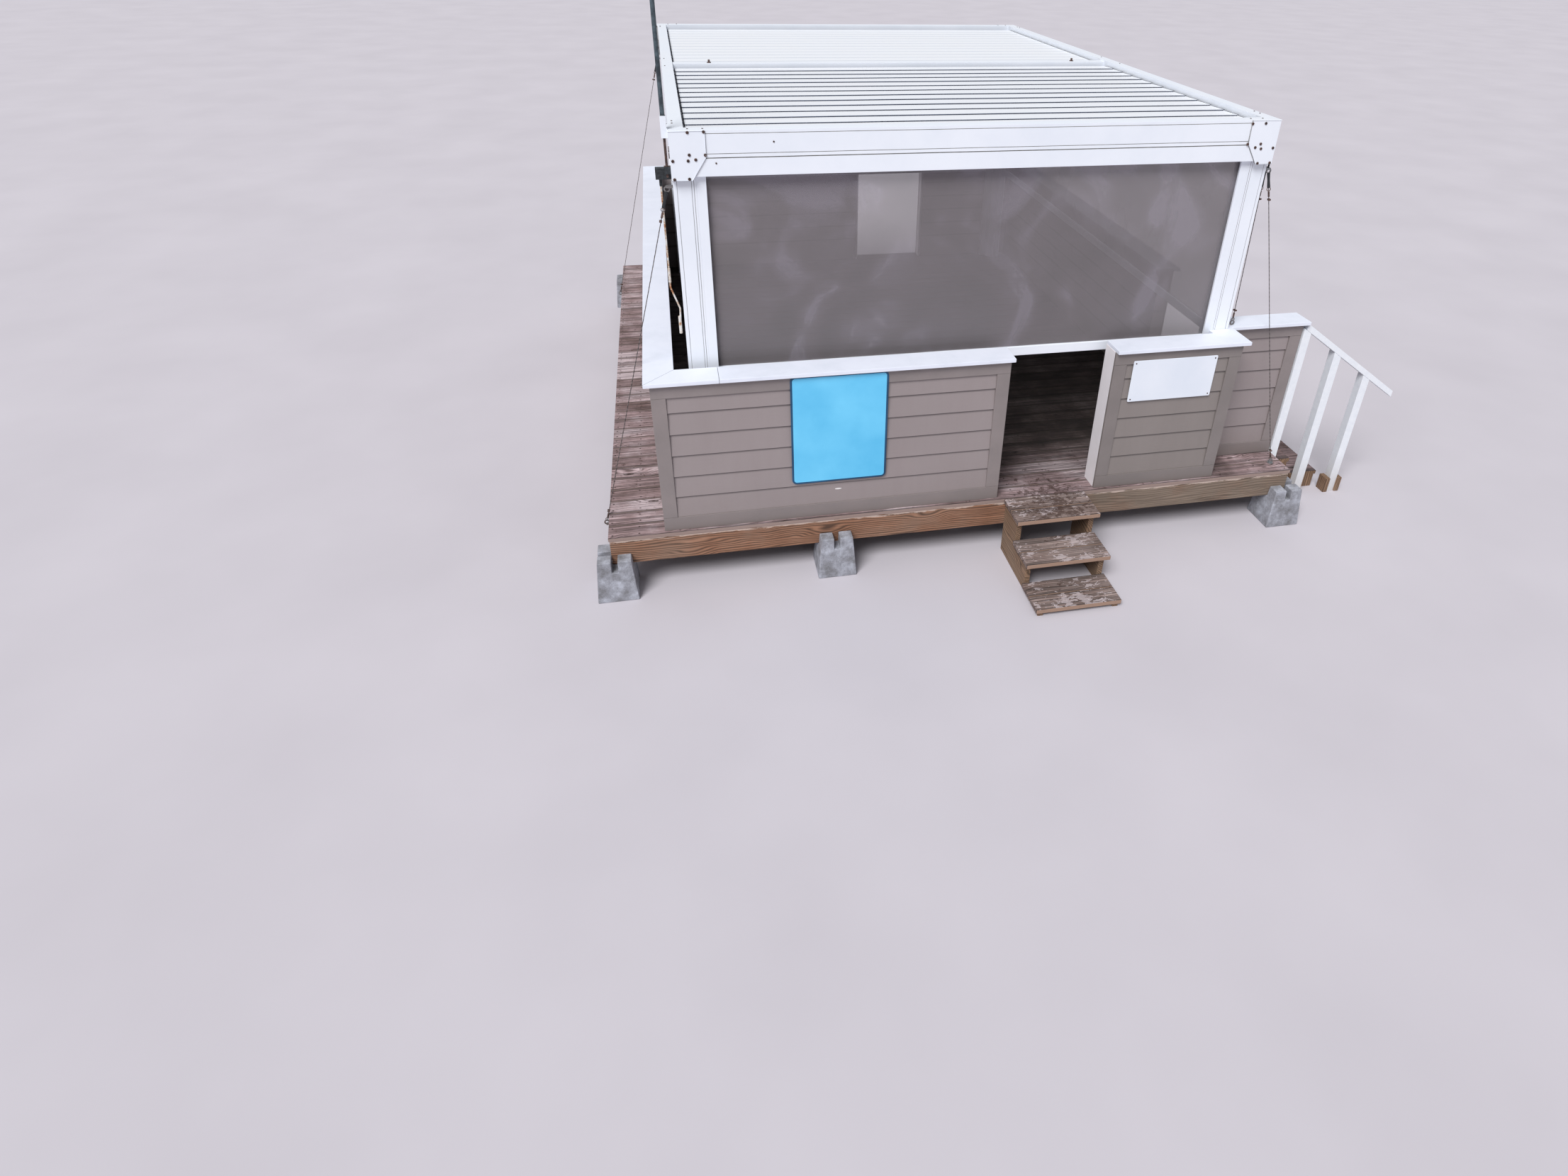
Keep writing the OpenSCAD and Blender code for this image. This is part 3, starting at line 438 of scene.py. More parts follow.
# deck screws, one countersunk head with its drive copied where each board crosses each joist; the real
# heads are 9 mm across and are drawn 12 mm across so that they show
bpy.ops.object.select_all(action="DESELECT")
bpy.ops.mesh.primitive_cylinder_add(vertices=8, radius=0.006, depth=0.002, location=(0, 0, 0))
screw = bpy.context.object
bpy.ops.object.mode_set(mode="EDIT")
pick(screw, "faces", lambda face: face.normal.z > 0.9)
bpy.ops.mesh.inset(thickness=0.003)
bpy.ops.mesh.extrude_region_move(TRANSFORM_OT_translate={"value": (0, 0, -0.0012)})
bpy.ops.object.mode_set(mode="OBJECT")
deck_low, deck_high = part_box("deck_floor")
board_width = 0.14
board_count = 36
board_pitch = (deck_high.y - deck_low.y - board_width) / (board_count - 1)
joist_pitch = 0.3183
joist_lines = [k * joist_pitch for k in range(-7, 8)] + [deck_low.x + 0.025, deck_high.x - 0.025]
from_edge = 0.032
chance = random.Random(4)
screw_places = []
for row in range(board_count):
    for line in joist_lines:
        for side in (from_edge, board_width - from_edge):
            y = deck_low.y + row * board_pitch + side + chance.uniform(-0.003, 0.003)
            x = line + chance.uniform(-0.006, 0.006)
            screw_places.append(Matrix.Translation((x, y, deck_high.z - 0.0004)))
# coated screws rusted dark brown, rough and hardly metallic any more
rusty_screws = mottled("rusted deck screws", {"Scale": 40, "Detail": 4},
                       [(0.35, "#1f1819"), (0.65, "#43332f")], 0.75, (0.4, 0.0008), metallic=0.3)
join_copies(screw, screw_places, "deck_screws", rusty_screws)


# Front steps. Three treads of two boards each on closed cut sides of treated pine; the treads are
# worn by feet, so they are paler and flaking along their middles.
tread_wood = weathered_boards("worn step treads", ("#6b564f", "#88756f", "#a3918c"), 0.97, "#b39380",
                              spill_at=(0.58, -2.8, 0.43))
board_by_board(finished("front_step_treads", tread_wood, 0.004), 5)
pine_steps = treated_pine("treated pine step sides", 1, ("#5a4636", "#8c6f58", "#a08269"))
finished("front_step_sides", pine_steps, 0.003)


# Side stair. Two bare treads between cut sides, down from the landing behind the wing wall, and two
# cleats that hold the foot of the last rail post.
cleats_back = -2.29
board_by_board(finished("side_stair", deck_wood, 0.003, second=pine_up,
                        where=lambda centre, normal: centre.y < cleats_back or abs(normal.y) > 0.9), 8)


# Raking rail and its posts. Painted two-by-three timber, the posts cut to the rail's slope: brushed
# white gloss gone satin, faintly streaked, with splashes of dirt near the ground.
white_paint, place = new_material("white painted timber")
brush = add(white_paint, "TexNoise", {"Vector": place, "Scale": 24, "Detail": 6, "Roughness": 0.6})
tone = add(white_paint, "ValToRGB", {"Fac": brush}, stops=[(0.3, "#e5e9f0"), (0.7, "#eef1f6")])
low = add(white_paint, "SeparateXYZ", {"Vector": place})
splash = add(white_paint, "MapRange", {"Value": low.outputs["Z"], "From Min": 0.0, "From Max": 0.35,
                                       "To Min": 0.5, "To Max": 0.0})
dirt = add(white_paint, "MixRGB", {"Fac": splash, "Color1": tone, "Color2": "#a89c90"})
dress(white_paint, dirt, 0.5, bump=(brush, 0.2, 0.001))
finished("side_rail_posts", white_paint, 0.003)
finished("side_handrail", white_paint, 0.004)


# Walls. Half-height frames clad in fibre-cement lap siding with an embossed wood grain, painted a
# satin taupe. The paint is even, with faint runs and splashes low down, and a painted shadow under the
# butts.
course = 0.1515
first_butt = 0.527


def splashed(material, place, colour, dirt, top, most, cloud):
    """Soil thrown up from the deck: most of it at the deck's top, none at the given height."""
    height = add(material, "SeparateXYZ", {"Vector": place}).outputs["Z"]
    splash = add(material, "MapRange", {"Value": height, "From Min": deck_high.z, "From Max": top,
                                        "To Min": most, "To Max": 0.0})
    soil = add(material, "Math", {0: splash, 1: cloud}, operation="MULTIPLY")
    return add(material, "MixRGB", {"Fac": soil, "Color1": colour, "Color2": dirt})


def lap_siding(name, dark, light, scrape=None):
    """Satin paint between two tones over an embossed grain, with dust runs, splashes near the deck and a
    painted shadow close under the butt of each course. A scrape at a place shows the white primer."""
    material, place = new_material(name)
    emboss = stretched(material, place, (3, 3, 90), {"Scale": 1.4, "Detail": 5, "Distortion": 0.6})
    runs = stretched(material, place, (5, 5, 0.8), {"Detail": 6, "Roughness": 0.7})
    run = add(material, "ValToRGB", {"Fac": runs}, stops=[(0.3, dark), (0.7, light)])
    cloud = add(material, "TexNoise", {"Vector": place, "Scale": 2.2, "Detail": 6})
    blotch = add(material, "ValToRGB", {"Fac": cloud}, stops=[(0.3, 0.95), (0.7, 1.0)])
    toned = add(material, "MixRGB", {"Fac": 1, "Color1": run, "Color2": blotch}, blend_type="MULTIPLY")
    soiled = splashed(material, place, toned, "#6c615a", 0.75, 0.34, cloud)
    # painted shadow: darker towards the top of each course, close under the next butt
    height = add(material, "SeparateXYZ", {"Vector": place}).outputs["Z"]
    above = add(material, "Math", {0: height, 1: first_butt - 0.0005}, operation="SUBTRACT")
    up_course = add(material, "Math", {0: above, 1: course}, operation="MODULO")
    painted_shade_under_butt = add(material, "MapRange", {"Value": up_course, "From Min": course - 0.020,
                                           "From Max": course, "To Min": 1.0, "To Max": 0.45})
    colour = add(material, "MixRGB", {"Fac": 1, "Color1": soiled, "Color2": painted_shade_under_butt},
                 blend_type="MULTIPLY")
    if scrape is not None:
        shifted = add(material, "VectorMath", {0: place, 1: scrape}, operation="SUBTRACT")
        squeezed = add(material, "Mapping", {"Vector": shifted, "Rotation": (0, 0.25, 0),
                                             "Scale": (45, 4, 200)})
        away = add(material, "VectorMath", {0: squeezed}, operation="LENGTH").outputs["Value"]
        bare = add(material, "Math", {0: away, 1: 1.0}, operation="LESS_THAN")
        colour = add(material, "MixRGB", {"Fac": bare, "Color1": colour, "Color2": "#e4e0df"})
    dress(material, colour, 0.56, bump=(emboss, 0.3, 0.0015))
    return material


siding = lap_siding("painted fibre-cement lap siding", "#948989", "#988e8e", scrape=(-0.93, -2.6, 0.625))
# the right front wall's siding and trim are darker and greyer than the rest
greyer_siding = lap_siding("darker greyer lap siding of the right front wall", "#857d7a", "#8a827f")
for wall in ("front_wall_left", "wing_wall", "left_wall", "right_wall", "rear_wall"):
    finished(wall, siding, 0.0015)
finished("front_wall_right", greyer_siding, 0.0015)


# Trim. Smooth boards nailed over the siding's ends: corner boards, a frieze under the cap and a base
# board, in the same taupe paint with slightly darker sheen.
def painted_trim(name, dark, light):
    """Satin paint between two tones on smooth boards, cloudy with dust and splashed near the deck."""
    material, place = new_material(name)
    cloud = add(material, "TexNoise", {"Vector": place, "Scale": 3.4, "Detail": 7, "Roughness": 0.6})
    tone = add(material, "ValToRGB", {"Fac": cloud}, stops=[(0.3, dark), (0.7, light)])
    soiled = splashed(material, place, tone, "#62574f", 0.56, 0.6, cloud)
    dress(material, soiled, 0.5, bump=(cloud, 0.15, 0.001))
    return material


trim = painted_trim("painted trim boards", "#827a79", "#8f8584")
greyer_trim = painted_trim("darker greyer trim boards of the right front wall", "#7a7371", "#857d7b")
# the boards of the right front wall, which stands between the doorway and the wing wall
doorway_right = 0.88
wing_left = 1.95
behind_front = -2.5
finished("trim_boards", trim, 0.002, second=greyer_trim,
         where=lambda centre, normal: doorway_right < centre.x < wing_left and centre.y < behind_front)


# Caps and door jambs. White cellular PVC boards glued and nailed on top of the walls, mitred at the
# corners, so the white is clean and slightly cool with soft arrises and a little dust.
def cellular_pvc(name, dark, mid, light):
    """Smooth white cellular PVC in three tones of dust, from dark to light."""
    return mottled(name, {"Scale": 5, "Detail": 8, "Roughness": 0.62},
                   [(0.25, dark), (0.5, mid), (0.8, light)], 0.42, (0.1, 0.001))


def dirt_and_shade_film(name, dark, light):
    """A dull dark film between two tones: dirt alone in the caps' joints, dirt with painted shade in the
    frame's grooves.
    """
    return mottled(name, {"Scale": 9, "Detail": 6, "Roughness": 0.7},
                   [(0.36, dark), (0.62, light)], 0.9, (0.3, 0.0005))


pvc = cellular_pvc("white cellular PVC", "#dfe4f0", "#e7ebf7", "#ebeffa")
joint_dirt = dirt_and_shade_film("dirt in the cap boards' joints", "#767a7e", "#8f9498")
# the mitres, and the butt joint in the front left cap
butt_x = -1.658
for caps in ("front_caps", "side_caps"):
    finished(caps, pvc, 0.003, second=joint_dirt,
             where=lambda centre, normal: 0.5 < abs(normal.x) < 0.95 or abs(centre.x - butt_x) < 0.01)
warm_pvc = cellular_pvc("cellular PVC yellowed by hands", "#e9e4e6", "#f0ebee", "#f4f0f3")
finished("door_jambs", warm_pvc, 0.002)


# Studs. Raw treated two-by-fours nailed flat to the outside of the left wall.
finished("wall_studs", pine_up, 0.003)


# Pergola frame. Extruded aluminium posts, shade guides and beams in a white polyester powder coat,
# bolted with bent corner plates. The coat has a faint orange peel, water marks and a little chalk.
def powder_coat(name, dark, light, gloss):
    """White powder coat on aluminium between two tones, with water marks and a fine orange peel."""
    material, place = new_material(name)
    marks = add(material, "TexNoise", {"Vector": place, "Scale": 2.6, "Detail": 9, "Roughness": 0.6})
    tone = add(material, "ValToRGB", {"Fac": marks}, stops=[(0.3, dark), (0.62, light)])
    peel = add(material, "TexNoise", {"Vector": place, "Scale": 420, "Detail": 2})
    rough = add(material, "MapRange", {"Value": marks, "From Min": 0.3, "From Max": 0.7,
                                       "To Min": gloss + 0.12, "To Max": gloss})
    dress(material, tone, rough, bump=(peel, 0.06, 0.0004))
    return material


coat = powder_coat("white powder-coated aluminium", "#e7ecf5", "#eef2fa", 0.34)
# grey dirt from the rain and a painted shade darken the grooves and the joints round the plates
grime_and_groove_shade = dirt_and_shade_film("dirt and painted shade in the frame's joints and grooves", "#7c7b7a", "#a3a2a0")
thin_grime_and_groove_shade = dirt_and_shade_film("thin dirt and painted shade in the posts' grooves", "#9fa0a4", "#bcbdc1")


def in_groove(depth, outer_x=math.inf, outer_y=math.inf):
    """A test for the faces of grooves of that depth in a frame whose outer faces lie that far out."""
    def behind_outer_face(centre, normal):
        return 0.0004 < min(outer_x - abs(centre.x), outer_y - abs(centre.y)) < depth + 0.0003

    return behind_outer_face


post_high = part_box("pergola_posts")[1]
beam_low, beam_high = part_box("end_beams")
beam_high.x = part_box("side_beams")[1].x
finished("pergola_posts", coat, 0.0008, second=thin_grime_and_groove_shade,
         where=in_groove(0.002, post_high.x, post_high.y))
finished("end_beams", coat, 0.0012, second=grime_and_groove_shade,
         where=in_groove(0.004, outer_y=beam_high.y))
finished("side_beams", coat, 0.0012, second=grime_and_groove_shade,
         where=in_groove(0.004, outer_x=beam_high.x))
finished("shade_guides", coat, 0.0015)

# the plates stand 4 mm proud: their edges and a narrow rim are darkened by dirt and painted shade, the rest
# is clean
plates = finished("corner_plates", grime_and_groove_shade, 0.0008, second=coat,
                  where=lambda centre, normal: abs(normal.z) < 0.1)
plate_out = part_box("corner_plates")[1]


def on_plate_front(face):
    """True for the plates' two outer faces."""
    spot = face.calc_center_median()
    out_x = abs(spot.x) > plate_out.x - 0.0009 and abs(face.normal.x) > 0.3
    out_y = abs(spot.y) > plate_out.y - 0.0009 and abs(face.normal.y) > 0.3
    return out_x or out_y


take(plates)
bpy.ops.object.mode_set(mode="EDIT")
pick(plates, "faces", on_plate_front)
bpy.ops.mesh.inset(thickness=0.0045, use_even_offset=True)
form = bmesh.from_edit_mesh(plates.data)
for face in form.faces:
    top_rim = face.calc_center_median().z > beam_high.z - 0.005
    face.material_index = 1 if face.select or top_rim else 0
bmesh.update_edit_mesh(plates.data)
bpy.ops.object.mode_set(mode="OBJECT")
bpy.ops.mesh.customdata_custom_splitnormals_clear()
shade_flat_faces(plates)

# zinc-plated steel gone brown: dull, rough and finely speckled
bolt_steel = mottled("rusted zinc-plated bolts", {"Scale": 60, "Detail": 5},
                     [(0.35, "#3d3230"), (0.65, "#6f5750")], 0.7, (0.4, 0.001), metallic=0.4)
# the two lifting lugs on the middle beam are the same rusted steel
middle = finished("middle_beam", coat, 0.0015)
middle.data.materials.append(bolt_steel)
lug_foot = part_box("middle_beam")[1].z - 0.0223
for polygon in middle.data.polygons:
    polygon.material_index = int(min(middle.data.vertices[v].co.z for v in polygon.vertices) > lug_foot)


def bolt_model(radius, height, rim):
    """One button-head bolt pointing along +Z from the origin: a domed head with a hexagon socket."""
    bpy.ops.object.select_all(action="DESELECT")
    bpy.ops.mesh.primitive_cylinder_add(vertices=12, radius=radius, depth=height,
                                        location=(0, 0, height / 2))
    head = bpy.context.object
    bpy.ops.object.transform_apply(location=True)
    bpy.ops.object.mode_set(mode="EDIT")
    pick(head, "edges", lambda edge: all(v.co.z > height * 0.9 for v in edge.verts))
    bpy.ops.mesh.bevel(offset=rim, segments=2)
    pick(head, "faces", lambda face: face.normal.z > 0.99)
    bpy.ops.mesh.inset(thickness=(radius - rim) * 0.35)
    bpy.ops.mesh.extrude_region_move(TRANSFORM_OT_translate={"value": (0, 0, -height * 0.5)})
    bpy.ops.object.mode_set(mode="OBJECT")
    return head


# places (inward, up) on the front plates, the left one's and then the right one's: how far in from the
# post's outer corner and above the beams' lower edge; the rear plates have the left one's
left_bolts = [(0.098, 0.237), (0.184, 0.239), (0.100, 0.119), (0.092, 0.088), (0.133, 0.093),
              (0.186, 0.117), (0.010, 0.088), (0.012, -0.011), (0.092, -0.010)]
right_bolts = [(0.188, 0.225), (0.100, 0.226), (0.193, 0.105), (0.104, 0.105), (0.136, 0.084),
               (0.095, 0.076), (0.013, 0.079), (0.096, -0.012), (0.012, -0.011)]
plate_proud = 0.004
bolt_places = []
for sx in (-1, 1):
    for sy in (-1, 1):
        for inward, up in right_bolts if (sx, sy) == (1, -1) else left_bolts:
            z = beam_low.z + up
            on_y = Matrix.Translation((sx * (plate_out.x - plate_proud - inward), sy * plate_out.y, z))
            bolt_places.append(on_y @ Matrix.Rotation(math.radians(-90 * sy), 4, "X"))
            if inward > 0.03:
                on_x = Matrix.Translation((sx * plate_out.x, sy * (plate_out.y - plate_proud - inward), z))
                bolt_places.append(on_x @ Matrix.Rotation(math.radians(90 * sx), 4, "Y"))
join_copies(bolt_model(0.0085, 0.0045, 0.002), bolt_places, "corner_bolts", bolt_steel)

# small pan-head screws: down through the beams' ends, at the middle, and two in the front beam's face
screw_places = []
for sx in (-1, 1):
    for sy in (-1, 1):
        for x, y in ((1.806, 2.18), (1.806, 2.245), (1.729, 2.398), (1.648, 2.398)):
            screw_places.append(Matrix.Translation((sx * x, sy * y, beam_high.z)))
    for y in (-0.21, 0.15):
        screw_places.append(Matrix.Translation((sx * 1.806, y, beam_high.z)))
to_front = Matrix.Rotation(math.radians(90), 4, "X")
for x, z in ((-1.268, 2.824), (-1.587, 2.715)):
    screw_places.append(Matrix.Translation((x, -beam_high.y, z)) @ to_front)
join_copies(bolt_model(0.005, 0.003, 0.001), screw_places, "frame_screws", bolt_steel)


# Shades. Taupe vinyl-coated polyester mesh on rollers inside the beams, held at its sides in the
# guides: close plain weave, a little see-through, with pale salt marks where it has dried.
mesh_cloth, place = new_material("vinyl-coated polyester mesh")
marks = add(mesh_cloth, "TexNoise", {"Vector": place, "Scale": 1.25, "Detail": 5, "Distortion": 1.6})
tone = add(mesh_cloth, "ValToRGB", {"Fac": marks},
           stops=[(0.34, "#8d878a"), (0.5, "#938c90"), (0.6, "#a29ba3")])
# real yarns lie 0.8 mm apart; the weave is drawn at 4 mm so that it shows at all
yarn_steps = 78.5
warp = add(mesh_cloth, "TexWave", {"Vector": place, "Scale": yarn_steps}, bands_direction="DIAGONAL")
weft = add(mesh_cloth, "TexWave", {"Vector": place, "Scale": yarn_steps}, bands_direction="Z")
weave = add(mesh_cloth, "Math", {0: warp.outputs["Fac"], 1: weft.outputs["Fac"]}, operation="MULTIPLY")
woven = add(mesh_cloth, "ValToRGB", {"Fac": weave}, stops=[(0, 0.9), (1, 1.0)])
marked = add(mesh_cloth, "MixRGB", {"Fac": 1, "Color1": tone, "Color2": woven}, blend_type="MULTIPLY")
# painted shade darkens the cloth beside the guides
from_side = add(mesh_cloth, "Attribute", attribute_name="from_side").outputs["Fac"]
painted_guide_shade = add(mesh_cloth, "ValToRGB", {"Fac": from_side}, stops=[(0.0, 0.78), (0.09, 1.0)])
colour = add(mesh_cloth, "MixRGB", {"Fac": 1, "Color1": marked, "Color2": painted_guide_shade}, blend_type="MULTIPLY")
dress(mesh_cloth, colour, 0.6, bump=(weave, 0.12, 0.0006)).inputs["Alpha"].default_value = 0.49


def shade(name, node, low, high, side):
    """A hung sheet in the upright plane from low to high: a fine grid with shallow waves, 1 mm thick."""
    bpy.ops.object.select_all(action="DESELECT")
    bpy.ops.mesh.primitive_grid_add(x_subdivisions=96, y_subdivisions=36, size=1, location=(0, 0, 0))
    cloth = bpy.context.object
    cloth.name = name
    cloth.data.name = name
    span = high - low
    from_side = cloth.data.attributes.new("from_side", "FLOAT", "POINT")
    for vertex in cloth.data.vertices:
        u = vertex.co.x + 0.5
        v = vertex.co.y + 0.5
        fade = math.sin(math.pi * u) * math.sin(math.pi * min(v * 1.2, 1.0)) ** 0.5
        wave = 0.003 * math.sin(9.5 * u + 3 * v + side) * fade + 0.0012 * math.sin(31 * u - 5 * v) * (1 - v)
        wave += 0.0025 * math.sin(26 * v + side) * math.exp(-u * 22) * math.sin(math.pi * v)
        from_side.data[vertex.index].value = min(u, 1 - u) * span.length
        if span.x > span.y:
            vertex.co = (low.x + u * span.x, low.y + wave, low.z + v * span.z)
        else:
            vertex.co = (low.x + wave, low.y + u * span.y, low.z + v * span.z)
    thick = cloth.modifiers.new("thickness", "SOLIDIFY")
    thick.thickness = 0.001
    thick.offset = 0
    bpy.ops.object.modifier_apply(modifier=thick.name)
    bpy.ops.object.shade_smooth_by_angle(angle=math.radians(40))
    cloth.data.materials.append(mesh_cloth)
    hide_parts(node)
    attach(cloth, "hut")


cloth_low, cloth_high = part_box("front_shade")
end_x = cloth_high.x
end_y = (cloth_low.y + cloth_high.y) / 2
end_flat = (cloth_high.x - cloth_low.x, cloth_high.z - cloth_low.z)
side_x = 1.799
side_y = 2.2505
side_flat = (2 * side_y, end_flat[1])
for name, node, low, high, flat, turn in (
        ("front_shade_cloth", "front_shade", (cloth_low.x, end_y), (end_x, end_y), end_flat, 0.4),
        ("back_shade_cloth", "back_and_side_shades", (cloth_low.x, -end_y), (end_x, -end_y), end_flat, 1.9),
        ("left_shade_cloth", "back_and_side_shades", (-side_x, -side_y), (-side_x, side_y), side_flat, 3.1),
        ("right_shade_cloth", "back_and_side_shades", (side_x, -side_y), (side_x, side_y), side_flat, 4.4)):
    shade(name, node, Vector((*low, cloth_low.z)), Vector((*high, cloth_high.z)), turn)
finished("shade_bars", coat, 0.004, 3)


# Louvres. Twenty-six roll-formed blades in the frame's white powder coat, each with a rain gutter and
# a lip, turning on pins in the side beams; dark glass-filled nylon caps close their ends.
blade = powder_coat("powder-coated louvre blades", "#eef1f7", "#f4f6fb", 0.3)
# painted shade, with a little salt and dust, darkens the gutters: more under the front bank, which stands a
# little open
front_gutter_shade = powder_coat("painted shade and salt in the front louvres' gutters", "#4d5871", "#6d7993", 0.6)
back_gutter_shade = powder_coat("painted shade and salt in the rear louvres' gutters", "#9aa5b8", "#b9c3d3", 0.6)
# moulded nylon: near black, half dull from the glass in it
nylon = mottled("dark glass-filled nylon", {"Scale": 120, "Detail": 4},
                [(0.35, "#17181c"), (0.65, "#2a2c33")], 0.62, (0.2, 0.0006))
cap_thick = 0.006
half_length = 1.733
blade_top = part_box("back_louvre_1")[1].z


def in_gutter(centre, normal):
    """True for the gutter's inside and the lip's edge: what faces up or forward below the top sheet."""
    on_top = normal.z > 0.9 and centre.z > blade_top - 0.004
    return normal.z > -0.5 and abs(normal.x) < 0.5 and not on_top


for bank, gutter in (("front", front_gutter_shade), ("back", back_gutter_shade)):
    for number in range(1, 14):
        node = f"{bank}_louvre_{number}"
        finished(node, blade, 0.0006, 1, second=gutter, where=in_gutter)
        ends = bmesh.new()
        ends.from_mesh(frame["nodes"][node].data)
        bmesh.ops.remove_doubles(ends, verts=ends.verts, dist=0.00002)
        inner = [f for f in ends.faces
                 if abs(f.normal.x) < 0.99 or abs(abs(f.calc_center_median().x) - half_length) > 0.0002]
        bmesh.ops.delete(ends, geom=inner, context="FACES")
        bmesh.ops.dissolve_limit(ends, angle_limit=math.radians(1), verts=ends.verts, edges=ends.edges)
        solid = bmesh.ops.extrude_face_region(ends, geom=ends.faces[:], use_keep_orig=True)
        for vertex in (g for g in solid["geom"] if isinstance(g, bmesh.types.BMVert)):
            vertex.co.x += math.copysign(cap_thick, vertex.co.x)
        bmesh.ops.recalc_face_normals(ends, faces=ends.faces)
        data = bpy.data.meshes.new(node + "_end_caps")
        ends.to_mesh(data)
        ends.free()
        caps = bpy.data.objects.new(node + "_end_caps", data)
        bpy.context.scene.collection.objects.link(caps)
        caps.data.materials.append(nylon)
        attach(caps, node)


# Crank rod. A galvanised steel rod with two elbows and a grip, hooked to the louvres' gear box under
# the left beam; its white paint has chipped and rusted.
chipped, place = new_material("chipped paint over rusting steel")
chips = add(chipped, "TexNoise", {"Vector": place, "Scale": 34, "Detail": 6, "Roughness": 0.7})
# the rust has spread most round the upper elbow and under the gear box
height = add(chipped, "SeparateXYZ", {"Vector": place}).outputs["Z"]
level = add(chipped, "MapRange", {"Value": height, "From Min": 1.68, "From Max": 2.68,
                                  "To Min": 0.0, "To Max": 1.0})
spread = add(chipped, "ValToRGB", {"Fac": level},
             stops=[(0.0, 0.0), (0.24, 0.0), (0.28, 0.16), (0.315, 0.18), (0.33, 0.0), (0.43, 0.0),
                    (0.5, 0.04), (0.9, 0.05)])
rusting = add(chipped, "Math", {0: chips, 1: spread}, operation="ADD")
tone = add(chipped, "ValToRGB", {"Fac": rusting},
           stops=[(0.44, "#e2e0dc"), (0.56, "#c9b9a6"), (0.63, "#b07447"), (0.72, "#74472b")])
dress(chipped, tone, 0.6, bump=(chips, 0.35, 0.001), metallic=0.2)
# a moulded cover, black with a fine spark-eroded grain
black_plastic = mottled("black polypropylene", {"Scale": 90, "Detail": 4},
                        [(0.35, "#1d2023"), (0.65, "#33383c")], 0.55, (0.2, 0.0005))
cover_foot = 2.57
cover_left = -1.93
finished("crank_handle", chipped, 0.0008, second=black_plastic,
         where=lambda centre, normal: centre.z > cover_foot and centre.x > cover_left)


# Mast. A slim aluminium aerial pole in a dark blue-grey coat with light scuffs, clamped by two white
# brackets to the front left corner. Its thinner, rusted foot runs down to a black plastic clamp.
pole = mottled("dark blue-grey coated aluminium tube", {"Scale": 18, "Detail": 8, "Roughness": 0.7},
               [(0.4, "#2b353c"), (0.72, "#5a6a73")], 0.4, (0.15, 0.001))
mast = finished("mast", pole, 0.001)
for material in (coat, black_plastic, bolt_steel):
    mast.data.materials.append(material)
mast_line = Vector((-1.853, -2.3885))
outside_pole = 0.0125
outside_foot = 0.008
bracket_low = 2.84
bracket_high = 2.962
clamp_top = 2.7
foot_top = 2.9
for polygon in mast.data.polygons:
    z = polygon.center.z
    out = (Vector(polygon.center.xy) - mast_line).length
    if bracket_low < z < bracket_high and out > outside_pole:
        polygon.material_index = 1
    elif z < clamp_top and out > outside_foot:
        polygon.material_index = 2
    elif z < foot_top:
        polygon.material_index = 3


# Stays. Five galvanised wire ropes of 5 mm hold the pergola down in a storm, from the post heads to the
# deck and the wing wall's cap. Each end has a thimble with its ferrule and clip, and black webbing slings
# sheathe the upper ends. The stranded wire is dull, and dark between strands whose lay is 30 mm long.
rope_steel, place = new_material("galvanised wire rope")
strands = add(rope_steel, "TexWave", {"Vector": place, "Scale": 10.5, "Distortion": 2}, bands_direction="Z")
lay = strands.outputs["Fac"]
tone = add(rope_steel, "ValToRGB", {"Fac": lay}, stops=[(0.2, "#4c4645"), (0.8, "#7b7472")])
dress(rope_steel, tone, 0.5, bump=(lay, 0.5, 0.001), metallic=0.5)
rim_low, rim_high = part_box("rim_joists")
head_x = 1.864
head_y = 2.3865
second_head_y = -head_y + 0.034
head_z = 2.569
eye_out = 0.027
anchor_y = 1.8615
anchor_z = rim_high.z - 0.035
stay_ends = [
    ((-head_x, -head_y, head_z), (rim_low.x - eye_out, -2.3585, anchor_z)),
    ((-head_x, head_y, head_z), (rim_low.x - eye_out, anchor_y, anchor_z)),
    ((head_x, head_y, head_z), (rim_high.x + eye_out, anchor_y, anchor_z)),
    ((head_x, second_head_y, head_z), (1.889, -2.3515, 1.521)),
    ((head_x, -head_y, head_z), (rim_high.x - 0.09, -2.5215, 0.448))]
eye_radius = 0.014
wire = 0.005
head_turns = []
foot_turns = []
for number, (head, foot) in enumerate(stay_ends, 1):
    head = Vector(head)
    foot = Vector(foot)
    down = (foot - head).normalized()
    start = head + down * eye_radius
    end = foot - down * eye_radius
    line = bpy.data.curves.new(f"stay_wire_{number}", "CURVE")
    line.dimensions = "3D"
    line.bevel_depth = wire / 2
    line.bevel_resolution = 2
    line.use_fill_caps = True
    spline = line.splines.new("POLY")
    spline.points.add(15)
    for step, point in enumerate(spline.points):
        point.co = (*start.lerp(end, step / 15), 1)
    rope = bpy.data.objects.new(line.name, line)
    bpy.context.scene.collection.objects.link(rope)
    line.materials.append(rope_steel)
    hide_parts("stay_wires")
    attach(rope, "hut")
    head_turns.append(Matrix.Translation(head) @ down.to_track_quat("-Z", "Y").to_matrix().to_4x4())
    foot_turns.append(Matrix.Translation(foot) @ (-down).to_track_quat("-Z", "Y").to_matrix().to_4x4())

